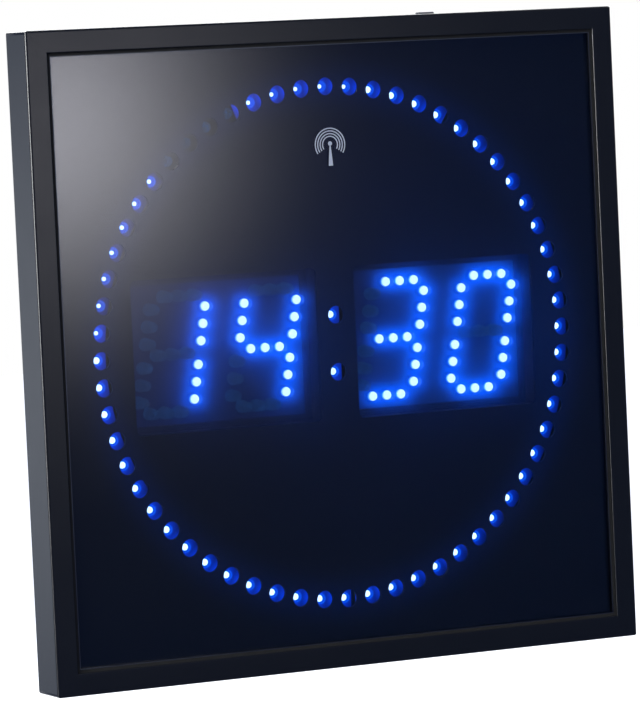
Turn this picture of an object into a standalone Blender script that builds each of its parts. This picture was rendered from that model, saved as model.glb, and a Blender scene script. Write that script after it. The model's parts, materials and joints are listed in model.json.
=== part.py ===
"""Radio-controlled LED wall clock, modelled piece by piece.

The clock is laid out on its dial: x runs across, y up and z out of the wall,
with z = 0 at the back of the clock and x = y = 0 at the middle of the dial.
One empty turns that layout upright, so in the world the front faces -Y and
the back lies on the plane Y = 0.

The layers are stacked from the wall forward, and the dial is sized from the
digits outward: display boards, ring of seconds, then frame.
"""

import math

import bmesh
import bpy
from mathutils import Matrix, Vector

MM = 0.001

# Fits shared by all pieces
FIT_GAP = 0.3 * MM
MITRE_GAP = 0.15 * MM
OVERRUN = 1.0 * MM
SINK = 0.3 * MM
WELD_DISTANCE = 0.001 * MM

# Round LEDs
LED_RADIUS = 2.5 * MM
LED_HEIGHT = 8.6 * MM
LED_SIDES = 6
LED_SHOULDER_SHARE = 0.78

# Layers, from the wall forward
COVER_THICKNESS = 2.0 * MM
SOLDER_ROOM = 2.2 * MM
BOARD_THICKNESS = 1.6 * MM
LED_TIP_GAP = 0.4 * MM
LENS_FLANGE_THICKNESS = 0.8 * MM
MASK_THICKNESS = 1.5 * MM
PANE_THICKNESS = 2.0 * MM
BEZEL_THICKNESS = 2.0 * MM

BOARD_BACK = COVER_THICKNESS + SOLDER_ROOM
BOARD_FRONT = BOARD_BACK + BOARD_THICKNESS
LED_TIP = BOARD_FRONT + LED_HEIGHT
LENS_BACK = LED_TIP + LED_TIP_GAP
MASK_BACK = LENS_BACK + LENS_FLANGE_THICKNESS + FIT_GAP
MASK_FRONT = MASK_BACK + MASK_THICKNESS
PANE_BACK = MASK_FRONT + FIT_GAP
PANE_FRONT = PANE_BACK + PANE_THICKNESS
LIP_BACK = PANE_FRONT + FIT_GAP
FRAME_DEPTH = LIP_BACK + BEZEL_THICKNESS

# Slanted seven-segment digits of separate LEDs
SEGMENT_LEDS = 3
ROW_PITCH = 7.1 * MM
COLUMN_PITCH = 7.6 * MM
COLUMN_OFFSET = 12.9 * MM
ROW_RISE = 25.6 * MM
DIGIT_SLANT = math.tan(math.radians(10.0))
DIGIT_PITCH = 45.0 * MM

# Windows in the mask, one for each pair of digits
WINDOW_SIDE_MARGIN = 3.75 * MM
WINDOW_TOP_MARGIN = 6.15 * MM
WINDOW_CORNER_RADIUS = 2.5 * MM
COLON_STRIP_HALF = 9.3 * MM
LENS_LIP = 1.0 * MM

HIGHEST_COLUMN_LED = ROW_RISE / 2 + COLUMN_PITCH * (SEGMENT_LEDS - 1) / 2
DIGIT_REACH = COLUMN_OFFSET + DIGIT_SLANT * HIGHEST_COLUMN_LED + LED_RADIUS
WINDOW_HALF_WIDTH = DIGIT_PITCH / 2 + DIGIT_REACH + WINDOW_SIDE_MARGIN
WINDOW_HALF_HEIGHT = ROW_RISE + LED_RADIUS + WINDOW_TOP_MARGIN
WINDOW_CENTRE_X = COLON_STRIP_HALF + WINDOW_HALF_WIDTH

# Colon between the windows
COLON_RISE = ROW_RISE / 2
COLON_BOARD_HALF_WIDTH = 7.0 * MM
COLON_BOARD_END_MARGIN = 6.2 * MM
COLON_BOARD_HALF_HEIGHT = COLON_RISE + COLON_BOARD_END_MARGIN
COLON_STANDOFF_RISE = 4.5 * MM

# Standoffs on the back of the mask, and the screws into them
STANDOFF_RADIUS = 2.5 * MM
STANDOFF_SIDES = 8
STANDOFF_CLEARANCE = 0.75 * MM
STANDOFF_EDGE = 3.5 * MM
BOARD_SCREW_RADIUS = 2.3 * MM
BOARD_SCREW_HEAD = 1.1 * MM
BOARD_SCREW_SIDES = 6

# Display boards
BOARD_SIDE_MARGIN = 1.5 * MM
DISPLAY_STANDOFF_INSET = 5.5 * MM
DISPLAY_STANDOFF_Y = WINDOW_HALF_HEIGHT + LENS_LIP + STANDOFF_CLEARANCE + STANDOFF_RADIUS
DISPLAY_BOARD_HALF_HEIGHT = DISPLAY_STANDOFF_Y + STANDOFF_EDGE
DISPLAY_BOARD_HALF_WIDTH = DIGIT_PITCH / 2 + DIGIT_REACH + BOARD_SIDE_MARGIN
DISPLAY_STANDOFF_X = DISPLAY_BOARD_HALF_WIDTH - DISPLAY_STANDOFF_INSET

# Ring of sixty seconds
SECONDS = 60
RING_BOARD_SPACE = 1.8 * MM
RING_BOARD_INNER_MARGIN = 6.8 * MM
RING_BOARD_OUTER_MARGIN = 8.2 * MM
RING_STANDOFF_OFFSET = 4.7 * MM
RING_STANDOFF_COUNT = 6
RING_STANDOFF_SECOND = 2.5
KEY_LEAD_SECOND = 5.5
APERTURE_RADIUS = 4.0 * MM
APERTURE_SIDES = 12

DISPLAY_CORNER = math.hypot(WINDOW_CENTRE_X + DISPLAY_BOARD_HALF_WIDTH, DISPLAY_BOARD_HALF_HEIGHT)
RING_BOARD_INNER_RADIUS = DISPLAY_CORNER + RING_BOARD_SPACE
RING_RADIUS = RING_BOARD_INNER_RADIUS + RING_BOARD_INNER_MARGIN
RING_BOARD_OUTER_RADIUS = RING_RADIUS + RING_BOARD_OUTER_MARGIN

# Frame of four mitred rails; u below is measured inward from the outer face
RING_BORDER = 18.4 * MM
BEZEL_WIDTH = 10.0 * MM
LEDGE_WIDTH = 1.8 * MM
LEDGE_DROP = 1.2 * MM
EDGE_ROUND = 1.2 * MM
BEZEL_EDGE_ROUND = 0.4 * MM
BACK_EDGE_ROUND = 0.6 * MM
ROUND_STEPS = 4
SLOT_STEPS = 2
WALL = 1.6 * MM
WEB_THICKNESS = 1.2 * MM
CHANNEL_WALL = 1.2 * MM
CHANNEL_DEPTH = 6.0 * MM

RAIL_WIDTH = BEZEL_WIDTH + LEDGE_WIDTH
FRAME_HALF = RING_RADIUS + RING_BORDER + RAIL_WIDTH
CHANNEL_OUTER = FRAME_HALF - WALL
CHANNEL_INNER = FRAME_HALF - RAIL_WIDTH + CHANNEL_WALL
CHANNEL_MIDDLE = (CHANNEL_OUTER + CHANNEL_INNER) / 2
CHANNEL_TOP = COVER_THICKNESS + CHANNEL_DEPTH
WEB_FRONT = CHANNEL_TOP + WEB_THICKNESS
CHANNEL_END = COVER_THICKNESS + FIT_GAP
PANEL_HALF = CHANNEL_OUTER - FIT_GAP
FRAME_OPENING_HALF = FRAME_HALF - RAIL_WIDTH

# Corner keys in the channels, and the screws that hold the cover to them
KEY_ARM = 28.0 * MM
SCREW_RADIUS = 1.5 * MM
SCREW_HEAD_RADIUS = 2.7 * MM
SCREW_HEAD_HEIGHT = 1.2 * MM
SCREW_RECESS = 0.1 * MM
SCREW_TIP_GAP = 0.7 * MM
SCREW_SIDES = 12

# Push switches: a soldered body with a stem, worked by a cap
SWITCH_SIDE = 6.0 * MM
SWITCH_HEIGHT = 3.5 * MM
STEM_RADIUS = 1.7 * MM
STEM_PROUD = 1.9 * MM
STEM_ENGAGEMENT = 1.6 * MM
STEM_SIDES = 12
BUTTON_TRAVEL = 0.6 * MM
CAP_RADIUS = 3.5 * MM
CAP_RECESS = 0.3 * MM
CAP_EDGE = 0.4 * MM
CAP_DISH = 0.25 * MM
CAP_FLANGE_RADIUS = 4.5 * MM
CAP_FLANGE_THICKNESS = 1.1 * MM
CAP_PLUNGER_LENGTH = 1.8 * MM
CAP_SIDES = 16
BUTTON_PITCH = 11.0 * MM
BUTTON_NAMES = ("set", "plus", "minus")

# Coin cell in its well, under a door in the cover
CELL_RADIUS = 10.0 * MM
CELL_THICKNESS = 3.2 * MM
CELL_EDGE = 0.4 * MM
HOLDER_WALL = 1.9 * MM
HOLDER_FLOOR = 1.2 * MM
HOLDER_NOTCH = 8.0 * MM
HOLDER_RIM = 2.0 * MM
ROUND_SIDES = 24
DOOR_HALF = 13.5 * MM
DOOR_CORNER_RADIUS = 3.0 * MM
DOOR_GRIP_LENGTH = 12.0 * MM
DOOR_GRIP_WIDTH = 3.0 * MM
DOOR_GRIP_DEPTH = 0.9 * MM
DOOR_GRIP_EDGE = 4.0 * MM

# Brightness slide switch
SLIDER_LENGTH = 11.0 * MM
SLIDER_WIDTH = 5.6 * MM
SLIDER_HEIGHT = 5.0 * MM
SLIDER_TRAVEL = 2.0 * MM
KNOB_LENGTH = 3.0 * MM
KNOB_WIDTH = 2.6 * MM
KNOB_ROOT_WIDTH = 1.6 * MM
KNOB_ROOT_DEPTH = 1.5 * MM
KNOB_RECESS = 0.5 * MM

# Control board, below the display boards; it lies nearer the front than they
# do, so that the switches and the cell find room behind it
CONTROL_SPACE = 4.0 * MM
CONTROL_SIDE_MARGIN = 4.0 * MM
CONTROL_END_MARGIN = 2.8 * MM
COMPONENT_SPACE = 4.9 * MM
RIBBON_LANDING = 7.0 * MM
HOLDER_TOP_SPACE = 5.8 * MM
HOLDER_BOTTOM_SPACE = 4.8 * MM
BUTTON_ROW_EDGE = 9.0 * MM
CONTROL_STANDOFF_INSET = 3.6 * MM
CONTROL_MIDDLE_STANDOFF = 13.0 * MM

SWITCH_STACK = (CAP_FLANGE_THICKNESS + CAP_PLUNGER_LENGTH + STEM_PROUD + SWITCH_HEIGHT
                + 2 * FIT_GAP)
CONTROL_BACK = COVER_THICKNESS + SWITCH_STACK
CONTROL_FRONT = CONTROL_BACK + BOARD_THICKNESS
HOLDER_RADIUS = CELL_RADIUS + FIT_GAP + HOLDER_WALL
BUTTON_SPAN = (len(BUTTON_NAMES) - 1) * BUTTON_PITCH
CONTROL_WIDTH = (CONTROL_SIDE_MARGIN + SWITCH_SIDE + BUTTON_SPAN + COMPONENT_SPACE
                 + SLIDER_LENGTH + COMPONENT_SPACE + 2 * HOLDER_RADIUS + CONTROL_END_MARGIN)
CONTROL_HEIGHT = RIBBON_LANDING + HOLDER_TOP_SPACE + 2 * HOLDER_RADIUS + HOLDER_BOTTOM_SPACE
CONTROL_TOP = -DISPLAY_BOARD_HALF_HEIGHT - CONTROL_SPACE
CONTROL_BOTTOM = CONTROL_TOP - CONTROL_HEIGHT
CONTROL_LEFT = -CONTROL_WIDTH / 2
BUTTON_Y = CONTROL_BOTTOM + BUTTON_ROW_EDGE
BUTTON_FIRST_X = CONTROL_LEFT + CONTROL_SIDE_MARGIN + SWITCH_SIDE / 2
SLIDER_X = (BUTTON_FIRST_X + BUTTON_SPAN + SWITCH_SIDE / 2 + COMPONENT_SPACE
            + SLIDER_LENGTH / 2)
CELL_X = -CONTROL_LEFT - CONTROL_END_MARGIN - HOLDER_RADIUS
CELL_Y = CONTROL_BOTTOM + HOLDER_BOTTOM_SPACE + HOLDER_RADIUS

# Chips on the control board
CHIP_SIDE = 10.0 * MM
CHIP_HEIGHT = 1.6 * MM
CHIP_X = -4.0 * MM
CHIP_BOARD_EDGE = 17.0 * MM
CRYSTAL_LENGTH = 11.0 * MM
CRYSTAL_WIDTH = 4.6 * MM
CRYSTAL_HEIGHT = 3.5 * MM
CRYSTAL_SPACE = 6.0 * MM

# Power board and socket at the bottom rail, between two LEDs of the ring
JACK_WIDTH = 9.0 * MM
JACK_LENGTH = 13.0 * MM
JACK_HEIGHT = 7.0 * MM
JACK_BORE_RADIUS = 2.75 * MM
JACK_BORE_DEPTH = 9.5 * MM
JACK_PIN_RADIUS = 1.05 * MM
JACK_PIN_RECESS = 0.8 * MM
JACK_SIDES = 16
PIN_SIDES = 8
PLUG_HOLE_RADIUS = 3.2 * MM
POWER_BOARD_WIDTH = 24.0 * MM
POWER_BOARD_MARGIN = 5.5 * MM
POWER_STANDOFF_INSET = 3.6 * MM
SECOND_ANGLE = 2 * math.pi / SECONDS
JACK_X = RING_RADIUS * math.sin(SECOND_ANGLE / 2)
POWER_BACK = COVER_THICKNESS + JACK_HEIGHT + 2 * FIT_GAP
POWER_FRONT = POWER_BACK + BOARD_THICKNESS
POWER_BOARD_LENGTH = JACK_LENGTH + POWER_BOARD_MARGIN
BAY_HALF_WIDTH = POWER_BOARD_WIDTH / 2 + FIT_GAP

# Ferrite-rod aerial with its winding and two clips, and the receiver board
COIL_RADIUS = 6.0 * MM
COIL_LENGTH = 22.0 * MM
ROD_RADIUS = 4.0 * MM
ROD_LENGTH = 60.0 * MM
ROD_SIDES = 16
CLIP_WIDTH = 6.0 * MM
CLIP_HALF_HEIGHT = 6.5 * MM
CLIP_GRIP = 2.2 * MM
CLIP_MOUTH_SHARE = 0.8
RECEIVER_SPACE = 7.0 * MM
RECEIVER_WIDTH = 30.0 * MM
RECEIVER_HEIGHT = 12.0 * MM
RECEIVER_STANDOFF_INSET = 3.4 * MM
ROD_SPACE = 4.5 * MM
RECEIVER_Y = DISPLAY_BOARD_HALF_HEIGHT + RECEIVER_SPACE + RECEIVER_HEIGHT / 2
ROD_Y = RECEIVER_Y + RECEIVER_HEIGHT / 2 + ROD_SPACE + CLIP_HALF_HEIGHT
ROD_LEVEL = MASK_BACK - FIT_GAP - COIL_RADIUS
CLIP_X = COIL_LENGTH / 2 + (ROD_LENGTH - COIL_LENGTH) / 4

# Key on the top rail, worked by a finger with the clock on the wall
KEY_X = 58.0 * MM
KEY_LENGTH = 8.0 * MM
KEY_WIDTH = 3.6 * MM
KEY_PROUD = 1.0 * MM
KEY_EDGE = 0.4 * MM
KEY_FLANGE = 1.0 * MM
KEY_FLANGE_RIM = 0.7 * MM
KEY_SWITCH_LENGTH = 6.0 * MM
KEY_SWITCH_HEIGHT = 3.0 * MM
KEY_STEM_RADIUS = 1.2 * MM
KEY_STEM_PROUD = 1.5 * MM
KEY_STEM_ENGAGEMENT = 1.3 * MM
KEY_BOARD_LENGTH = 20.0 * MM
KEY_LEVEL = (CHANNEL_END + CHANNEL_TOP - FIT_GAP) / 2
KEY_BOARD_HALF_DEPTH = (CHANNEL_TOP - FIT_GAP - CHANNEL_END) / 2
KEY_LEAD_NOTCH = 3.0 * MM
KEY_LEAD_INSET = 2.0 * MM

# Ribbons and leads between the boards
RIBBON_WIDTH = 16.0 * MM
RIBBON_THICKNESS = 0.8 * MM
RIBBON_SCREW_SPACE = 2.5 * MM
RIBBON_REACH = 8.0 * MM
COLON_RIBBON_WIDTH = 6.0 * MM
RING_RIBBON_WIDTH = 12.0 * MM
LEAD_RADIUS = 0.8 * MM
POWER_LEAD_RADIUS = 1.0 * MM
LEAD_LANDING = 5.0 * MM
LEAD_SPACING = 11.0 * MM

# Back cover: keyhole windows, vents and door opening
COVER_CORNER_RADIUS = 1.0 * MM
KEYHOLE_X = 60.0 * MM
KEYHOLE_Y = 70.0 * MM
KEYHOLE_HEAD_RADIUS = 4.5 * MM
KEYHOLE_SLOT_RADIUS = 2.3 * MM
KEYHOLE_RISE = 10.0 * MM
KEYHOLE_PLATE_THICKNESS = 1.2 * MM
KEYHOLE_PLATE_RIM = 6.0 * MM
KEYHOLE_WINDOW_RIM = 2.5 * MM
VENT_COUNT = 9
VENT_PITCH = 8.0 * MM
VENT_LENGTH = 20.0 * MM
VENT_WIDTH = 2.4 * MM
VENT_RISE = 104.0 * MM

PARTS = "led_wall_clock"
TOOLS = "cutters"
QUARTER_TURN = math.pi / 2


def clear_scene():
    """Remove every object that the file opened with."""
    for existing in list(bpy.data.objects):
        bpy.data.objects.remove(existing, do_unlink=True)


def make_collection(name):
    """Return a new collection, linked to the scene."""
    collection = bpy.data.collections.new(name)
    bpy.context.scene.collection.children.link(collection)
    return collection


def make_material(name, colour, roughness, metallic=0.0):
    """Return a Principled material of one colour."""
    material = bpy.data.materials.new(name)
    material.use_nodes = True
    material.diffuse_color = (*colour, 1.0)
    shader = material.node_tree.nodes["Principled BSDF"]
    shader.inputs["Base Color"].default_value = (*colour, 1.0)
    shader.inputs["Roughness"].default_value = roughness
    shader.inputs["Metallic"].default_value = metallic
    return material


clear_scene()
parts = make_collection(PARTS)
tools = make_collection(TOOLS)

clock = bpy.data.objects.new("clock_layout", None)
clock.rotation_euler.x = QUARTER_TURN
parts.objects.link(clock)

FRAME_BLACK = make_material("frame_black", (0.028, 0.028, 0.032), 0.38, 0.6)
PANE_TINT = make_material("pane_tint", (0.01, 0.01, 0.014), 0.05)
MASK_BLACK = make_material("mask_black", (0.012, 0.012, 0.015), 0.6)
LENS_BLUE = make_material("lens_blue", (0.02, 0.05, 0.16), 0.15)
BOARD_GREEN = make_material("board_green", (0.02, 0.09, 0.05), 0.45)
CHIP_BLACK = make_material("chip_black", (0.02, 0.02, 0.02), 0.5)
BRIGHT_STEEL = make_material("bright_steel", (0.62, 0.62, 0.64), 0.3, 1.0)
COVER_BLACK = make_material("cover_black", (0.03, 0.03, 0.03), 0.7)
RUBBER_GREY = make_material("button_grey", (0.16, 0.16, 0.17), 0.6)
FOAM_GREY = make_material("foam_grey", (0.09, 0.09, 0.09), 0.95)
FERRITE_GREY = make_material("ferrite_grey", (0.05, 0.05, 0.055), 0.55)
WIRE_COPPER = make_material("wire_copper", (0.6, 0.24, 0.1), 0.35, 1.0)
RIBBON_GREY = make_material("ribbon_grey", (0.42, 0.43, 0.45), 0.6)
LEAD_BLACK = make_material("lead_black", (0.02, 0.02, 0.02), 0.55)
CLIP_WHITE = make_material("clip_white", (0.75, 0.74, 0.7), 0.5)
KEY_DIE_CAST = make_material("die_cast", (0.45, 0.45, 0.46), 0.5, 1.0)


def arc(centre, radius, start, end, steps):
    """Return the points of a round stretch, with the angles in degrees."""
    points = []
    for step in range(steps + 1):
        angle = math.radians(start + (end - start) * step / steps)
        points.append((centre[0] + radius * math.cos(angle), centre[1] + radius * math.sin(angle)))
    return points


def circle(centre, radius, sides):
    """Return the corners of a round outline."""
    return arc(centre, radius, 0, 360, sides)[:-1]


def rounded_rectangle(centre, half_width, half_height, radius):
    """Return the outline of a rectangle with round corners."""
    points = []
    for quarter, (side, end) in enumerate(((1, 1), (-1, 1), (-1, -1), (1, -1))):
        corner = (centre[0] + side * (half_width - radius), centre[1] + end * (half_height - radius))
        points += arc(corner, radius, 90 * quarter, 90 * quarter + 90, ROUND_STEPS)
    return points


def rectangle(x_low, x_high, y_low, y_high):
    """Return the outline of a plain rectangle."""
    return [(x_low, y_low), (x_high, y_low), (x_high, y_high), (x_low, y_high)]


def upright_slot(centre, length, width):
    """Return the outline of an upright slot with round ends."""
    radius = width / 2
    reach = length / 2 - radius
    top = arc((centre[0], centre[1] + reach), radius, 0, 180, SLOT_STEPS)
    bottom = arc((centre[0], centre[1] - reach), radius, 180, 360, SLOT_STEPS)
    return top + bottom


def ring_places(radius, count, offset=0.0):
    """Return places around the dial, clockwise from the top, in turns of offset."""
    places = []
    for index in range(count):
        angle = 2 * math.pi * index / count + offset
        places.append((radius * math.sin(angle), radius * math.cos(angle)))
    return places


def welded(mesh, turn=None):
    """Weld a mesh's loose seams, turn it, and point its faces outwards."""
    work = bmesh.new()
    work.from_mesh(mesh)
    bmesh.ops.remove_doubles(work, verts=work.verts, dist=WELD_DISTANCE)
    if turn is not None:
        bmesh.ops.transform(work, matrix=turn, verts=work.verts)
    bmesh.ops.recalc_face_normals(work, faces=work.faces)
    work.to_mesh(mesh)
    work.free()
    return mesh


def evaluated_mesh(guide):
    """Turn a guide object into a plain mesh and remove the guide."""
    tools.objects.link(guide)
    depsgraph = bpy.context.evaluated_depsgraph_get()
    mesh = bpy.data.meshes.new_from_object(guide.evaluated_get(depsgraph))
    bpy.data.objects.remove(guide)
    return mesh


def outline_mesh(outlines, thickness, turn=None):
    """Return a flat solid: its edge is the first outline, the others are holes in it."""
    curve = bpy.data.curves.new("outline", "CURVE")
    curve.dimensions = "2D"
    curve.fill_mode = "BOTH"
    curve.extrude = thickness / 2
    for points in outlines:
        spline = curve.splines.new("POLY")
        spline.points.add(len(points) - 1)
        for point, (x, y) in zip(spline.points, points):
            point.co = (x, y, 0, 1)
        spline.use_cyclic_u = True
    return welded(evaluated_mesh(bpy.data.objects.new("outline", curve)), turn)


def block_mesh(size_x, size_y, size_z):
    """Return a box centred on its origin."""
    work = bmesh.new()
    bmesh.ops.create_cube(work, size=1.0, matrix=Matrix.Diagonal((size_x, size_y, size_z, 1.0)))
    mesh = bpy.data.meshes.new("block")
    work.to_mesh(mesh)
    work.free()
    return mesh


def cylinder_mesh(radius, height, sides, turn=None):
    """Return a cylinder centred on its origin, standing along z unless it is turned."""
    work = bmesh.new()
    bmesh.ops.create_cone(work, cap_ends=True, segments=sides, radius1=radius, radius2=radius,
                          depth=height, matrix=turn if turn is not None else Matrix())
    mesh = bpy.data.meshes.new("cylinder")
    work.to_mesh(mesh)
    work.free()
    return mesh


def turned_mesh(profile, sides):
    """Return a solid turned about z from a profile of (radius, level) points."""
    outline = bpy.data.meshes.new("profile")
    edges = [(index, index + 1) for index in range(len(profile) - 1)]
    outline.from_pydata([(radius, 0, level) for radius, level in profile], edges, [])
    guide = bpy.data.objects.new("profile", outline)
    screw = guide.modifiers.new("turn", "SCREW")
    screw.steps = sides
    screw.render_steps = sides
    screw.use_merge_vertices = True
    screw.merge_threshold = WELD_DISTANCE
    return welded(evaluated_mesh(guide))


def repeated_mesh(mesh, places, level=0.0):
    """Return one mesh with a copy of another at each place on the dial."""
    work = bmesh.new()
    for x, y in places:
        first = len(work.verts)
        work.from_mesh(mesh)
        work.verts.ensure_lookup_table()
        bmesh.ops.translate(work, vec=Vector((x, y, level)), verts=work.verts[first:])
    joined = bpy.data.meshes.new("repeated")
    work.to_mesh(joined)
    work.free()
    return joined


def place_object(name, mesh, place, turn, collection):
    """Put a mesh on the clock's layout as an object."""
    obj = bpy.data.objects.new(name, mesh)
    obj.location = place
    obj.rotation_euler.z = turn
    obj.parent = clock
    collection.objects.link(obj)
    return obj


def add_part(name, mesh, material, place=(0, 0, 0), turn=0.0):
    """Add one sub-part of the clock."""
    own = mesh.copy() if mesh.users else mesh
    own.name = name
    own.materials.clear()
    own.materials.append(material)
    own.shade_smooth()
    own.set_sharp_from_angle(angle=math.radians(30))
    return place_object(name, own, place, turn, parts)


def add_tool(name, mesh, place=(0, 0, 0)):
    """Add a body that cuts or extends a sub-part."""
    tool = place_object(name, mesh, place, 0.0, tools)
    tool.display_type = "WIRE"
    tool.hide_render = True
    return tool


def shape(part, operation, mesh, place=(0, 0, 0)):
    """Cut a body from a part, or fuse one to it, with a Boolean modifier."""
    boolean = part.modifiers.new(operation.lower(), "BOOLEAN")
    boolean.operation = operation
    boolean.solver = "EXACT"
    boolean.object = add_tool(part.name + "_" + operation.lower(), mesh, place)


def middle(low, high):
    """Return the level half way between two others."""
    return (low + high) / 2


def rail_outline():
    """Return a rail's section as (u, z): u runs inward from the outer face."""
    round_front = arc((EDGE_ROUND, FRAME_DEPTH - EDGE_ROUND), EDGE_ROUND, 180, 90, ROUND_STEPS)
    inner_edge = (BEZEL_WIDTH - BEZEL_EDGE_ROUND, FRAME_DEPTH - BEZEL_EDGE_ROUND)
    round_bezel = arc(inner_edge, BEZEL_EDGE_ROUND, 90, 0, 2)
    round_back = arc((BACK_EDGE_ROUND, BACK_EDGE_ROUND), BACK_EDGE_ROUND, 270, 180, 2)
    channel_inner = RAIL_WIDTH - CHANNEL_WALL
    return (round_front + round_bezel + [
        (BEZEL_WIDTH, FRAME_DEPTH - LEDGE_DROP),
        (RAIL_WIDTH, FRAME_DEPTH - LEDGE_DROP),
        (RAIL_WIDTH, LIP_BACK),
        (WALL, LIP_BACK),
        (WALL, WEB_FRONT),
        (RAIL_WIDTH, WEB_FRONT),
        (RAIL_WIDTH, CHANNEL_END),
        (channel_inner, CHANNEL_END),
        (channel_inner, CHANNEL_TOP),
        (WALL, CHANNEL_TOP),
        (WALL, 0),
    ] + round_back)


def rail_mesh():
    """Return the top rail, its ends mitred, about the middle of the dial."""
    along_x = Matrix(((0, 0, 1, 0), (-1, 0, 0, FRAME_HALF), (0, 1, 0, 0), (0, 0, 0, 1)))
    mesh = outline_mesh([rail_outline()], 2 * FRAME_HALF, along_x)
    for vertex in mesh.vertices:
        vertex.co.x = math.copysign(vertex.co.y - MITRE_GAP, vertex.co.x)
    return mesh


def build_frame():
    """Build the four rails, with the key's hole above and the socket's bay below."""
    mesh = rail_mesh()
    rails = {}
    for quarter, side in enumerate(("top", "left", "bottom", "right")):
        rails[side] = add_part("frame_rail_" + side, mesh, FRAME_BLACK, turn=quarter * QUARTER_TURN)

    key_hole = block_mesh(KEY_LENGTH + 2 * FIT_GAP, WALL + 2 * OVERRUN, KEY_WIDTH + 2 * FIT_GAP)
    shape(rails["top"], "DIFFERENCE", key_hole, (KEY_X, FRAME_HALF - WALL / 2, KEY_LEVEL))
    notch = block_mesh(KEY_LEAD_NOTCH, CHANNEL_WALL + 2 * OVERRUN, CHANNEL_DEPTH - 2 * FIT_GAP + OVERRUN)
    notch_y = CHANNEL_INNER - CHANNEL_WALL / 2
    notch_z = middle(CHANNEL_END - OVERRUN, CHANNEL_TOP - FIT_GAP)
    shape(rails["top"], "DIFFERENCE", notch, (key_lead_x(), notch_y, notch_z))

    plug_hole = cylinder_mesh(PLUG_HOLE_RADIUS, WALL + 2 * OVERRUN, JACK_SIDES,
                              Matrix.Rotation(QUARTER_TURN, 4, "X"))
    shape(rails["bottom"], "DIFFERENCE", plug_hole, (JACK_X, -FRAME_HALF + WALL / 2, jack_level()))
    bay_low = CHANNEL_END - OVERRUN
    bay_depth = RAIL_WIDTH - WALL
    bay = block_mesh(2 * BAY_HALF_WIDTH, bay_depth + OVERRUN, WEB_FRONT + OVERRUN - bay_low)
    bay_y = -FRAME_HALF + WALL + (bay_depth + OVERRUN) / 2
    shape(rails["bottom"], "DIFFERENCE", bay, (JACK_X, bay_y, middle(bay_low, WEB_FRONT + OVERRUN)))


def build_corner_keys():
    """Build the L-shaped keys that join the rails and take the cover screws."""
    outer = PANEL_HALF
    inner = CHANNEL_INNER + FIT_GAP
    end = outer - KEY_ARM
    outline = [(outer, outer), (end, outer), (end, inner), (inner, inner), (inner, end), (outer, end)]
    hole = circle((CHANNEL_MIDDLE, CHANNEL_MIDDLE), SCREW_RADIUS + FIT_GAP, SCREW_SIDES)
    low = CHANNEL_END
    high = CHANNEL_TOP - FIT_GAP
    mesh = outline_mesh([outline, hole], high - low)
    for quarter, corner in enumerate(("top_right", "top_left", "bottom_left", "bottom_right")):
        add_part("corner_key_" + corner, mesh, KEY_DIE_CAST, (0, 0, middle(low, high)),
                 quarter * QUARTER_TURN)


def build_packing():
    """Build the foam strips that press the pane and the mask against the lip."""
    low = WEB_FRONT + FIT_GAP
    high = MASK_BACK - FIT_GAP
    width = PANEL_HALF - FRAME_OPENING_HALF
    reach = PANEL_HALF - width / 2
    long_strip = block_mesh(2 * PANEL_HALF, width, high - low)
    short_strip = block_mesh(width, 2 * (PANEL_HALF - width - FIT_GAP), high - low)
    level = middle(low, high)
    add_part("foam_strip_top", long_strip, FOAM_GREY, (0, reach, level))
    bottom = add_part("foam_strip_bottom", long_strip, FOAM_GREY, (0, -reach, level))
    add_part("foam_strip_left", short_strip, FOAM_GREY, (-reach, 0, level))
    add_part("foam_strip_right", short_strip, FOAM_GREY, (reach, 0, level))

    notch_low = low - OVERRUN
    notch_high = POWER_FRONT + FIT_GAP
    notch = block_mesh(2 * BAY_HALF_WIDTH, width + 2 * OVERRUN, notch_high - notch_low)
    shape(bottom, "DIFFERENCE", notch, (JACK_X, -reach, middle(notch_low, notch_high)))


def digit_places(centre_x):
    """Return the LED places of one slanted seven-segment digit."""
    steps = [index - (SEGMENT_LEDS - 1) / 2 for index in range(SEGMENT_LEDS)]
    places = []
    for row in (-1, 0, 1):
        y = row * ROW_RISE
        places += [(centre_x + DIGIT_SLANT * y + step * ROW_PITCH, y) for step in steps]
    for side in (-1, 1):
        for half in (-1, 1):
            for step in steps:
                y = half * ROW_RISE / 2 + step * COLUMN_PITCH
                places.append((centre_x + side * COLUMN_OFFSET + DIGIT_SLANT * y, y))
    return places


def display_places(side):
    """Return the LED places of the pair of digits on one side of the colon."""
    centre = side * WINDOW_CENTRE_X
    return digit_places(centre - DIGIT_PITCH / 2) + digit_places(centre + DIGIT_PITCH / 2)


def colon_places():
    """Return the places of the colon's two LEDs."""
    return [(0, COLON_RISE), (0, -COLON_RISE)]


def display_standoffs(side):
    """Return the standoffs at the four corners of a display board."""
    centre = side * WINDOW_CENTRE_X
    return [(centre + across * DISPLAY_STANDOFF_X, up * DISPLAY_STANDOFF_Y)
            for across in (-1, 1) for up in (-1, 1)]


def ring_standoffs():
    """Return the standoffs of the ring board, each half way between two LEDs."""
    return ring_places(RING_RADIUS + RING_STANDOFF_OFFSET, RING_STANDOFF_COUNT,
                       RING_STANDOFF_SECOND * SECOND_ANGLE)


def colon_standoffs():
    """Return the standoffs of the colon board."""
    return [(0, COLON_STANDOFF_RISE), (0, -COLON_STANDOFF_RISE)]


def control_standoffs():
    """Return the standoffs of the control board: top corners and middle of its bottom edge."""
    top = CONTROL_TOP - CONTROL_STANDOFF_INSET
    bottom = CONTROL_BOTTOM + CONTROL_STANDOFF_INSET
    side = CONTROL_WIDTH / 2 - CONTROL_STANDOFF_INSET
    middle_x = CELL_X - HOLDER_RADIUS - CONTROL_STANDOFF_INSET
    return [(-CONTROL_MIDDLE_STANDOFF, top), (CONTROL_MIDDLE_STANDOFF + LEAD_LANDING, top),
            (-side, bottom), (side, bottom), (middle_x, bottom)]


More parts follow.
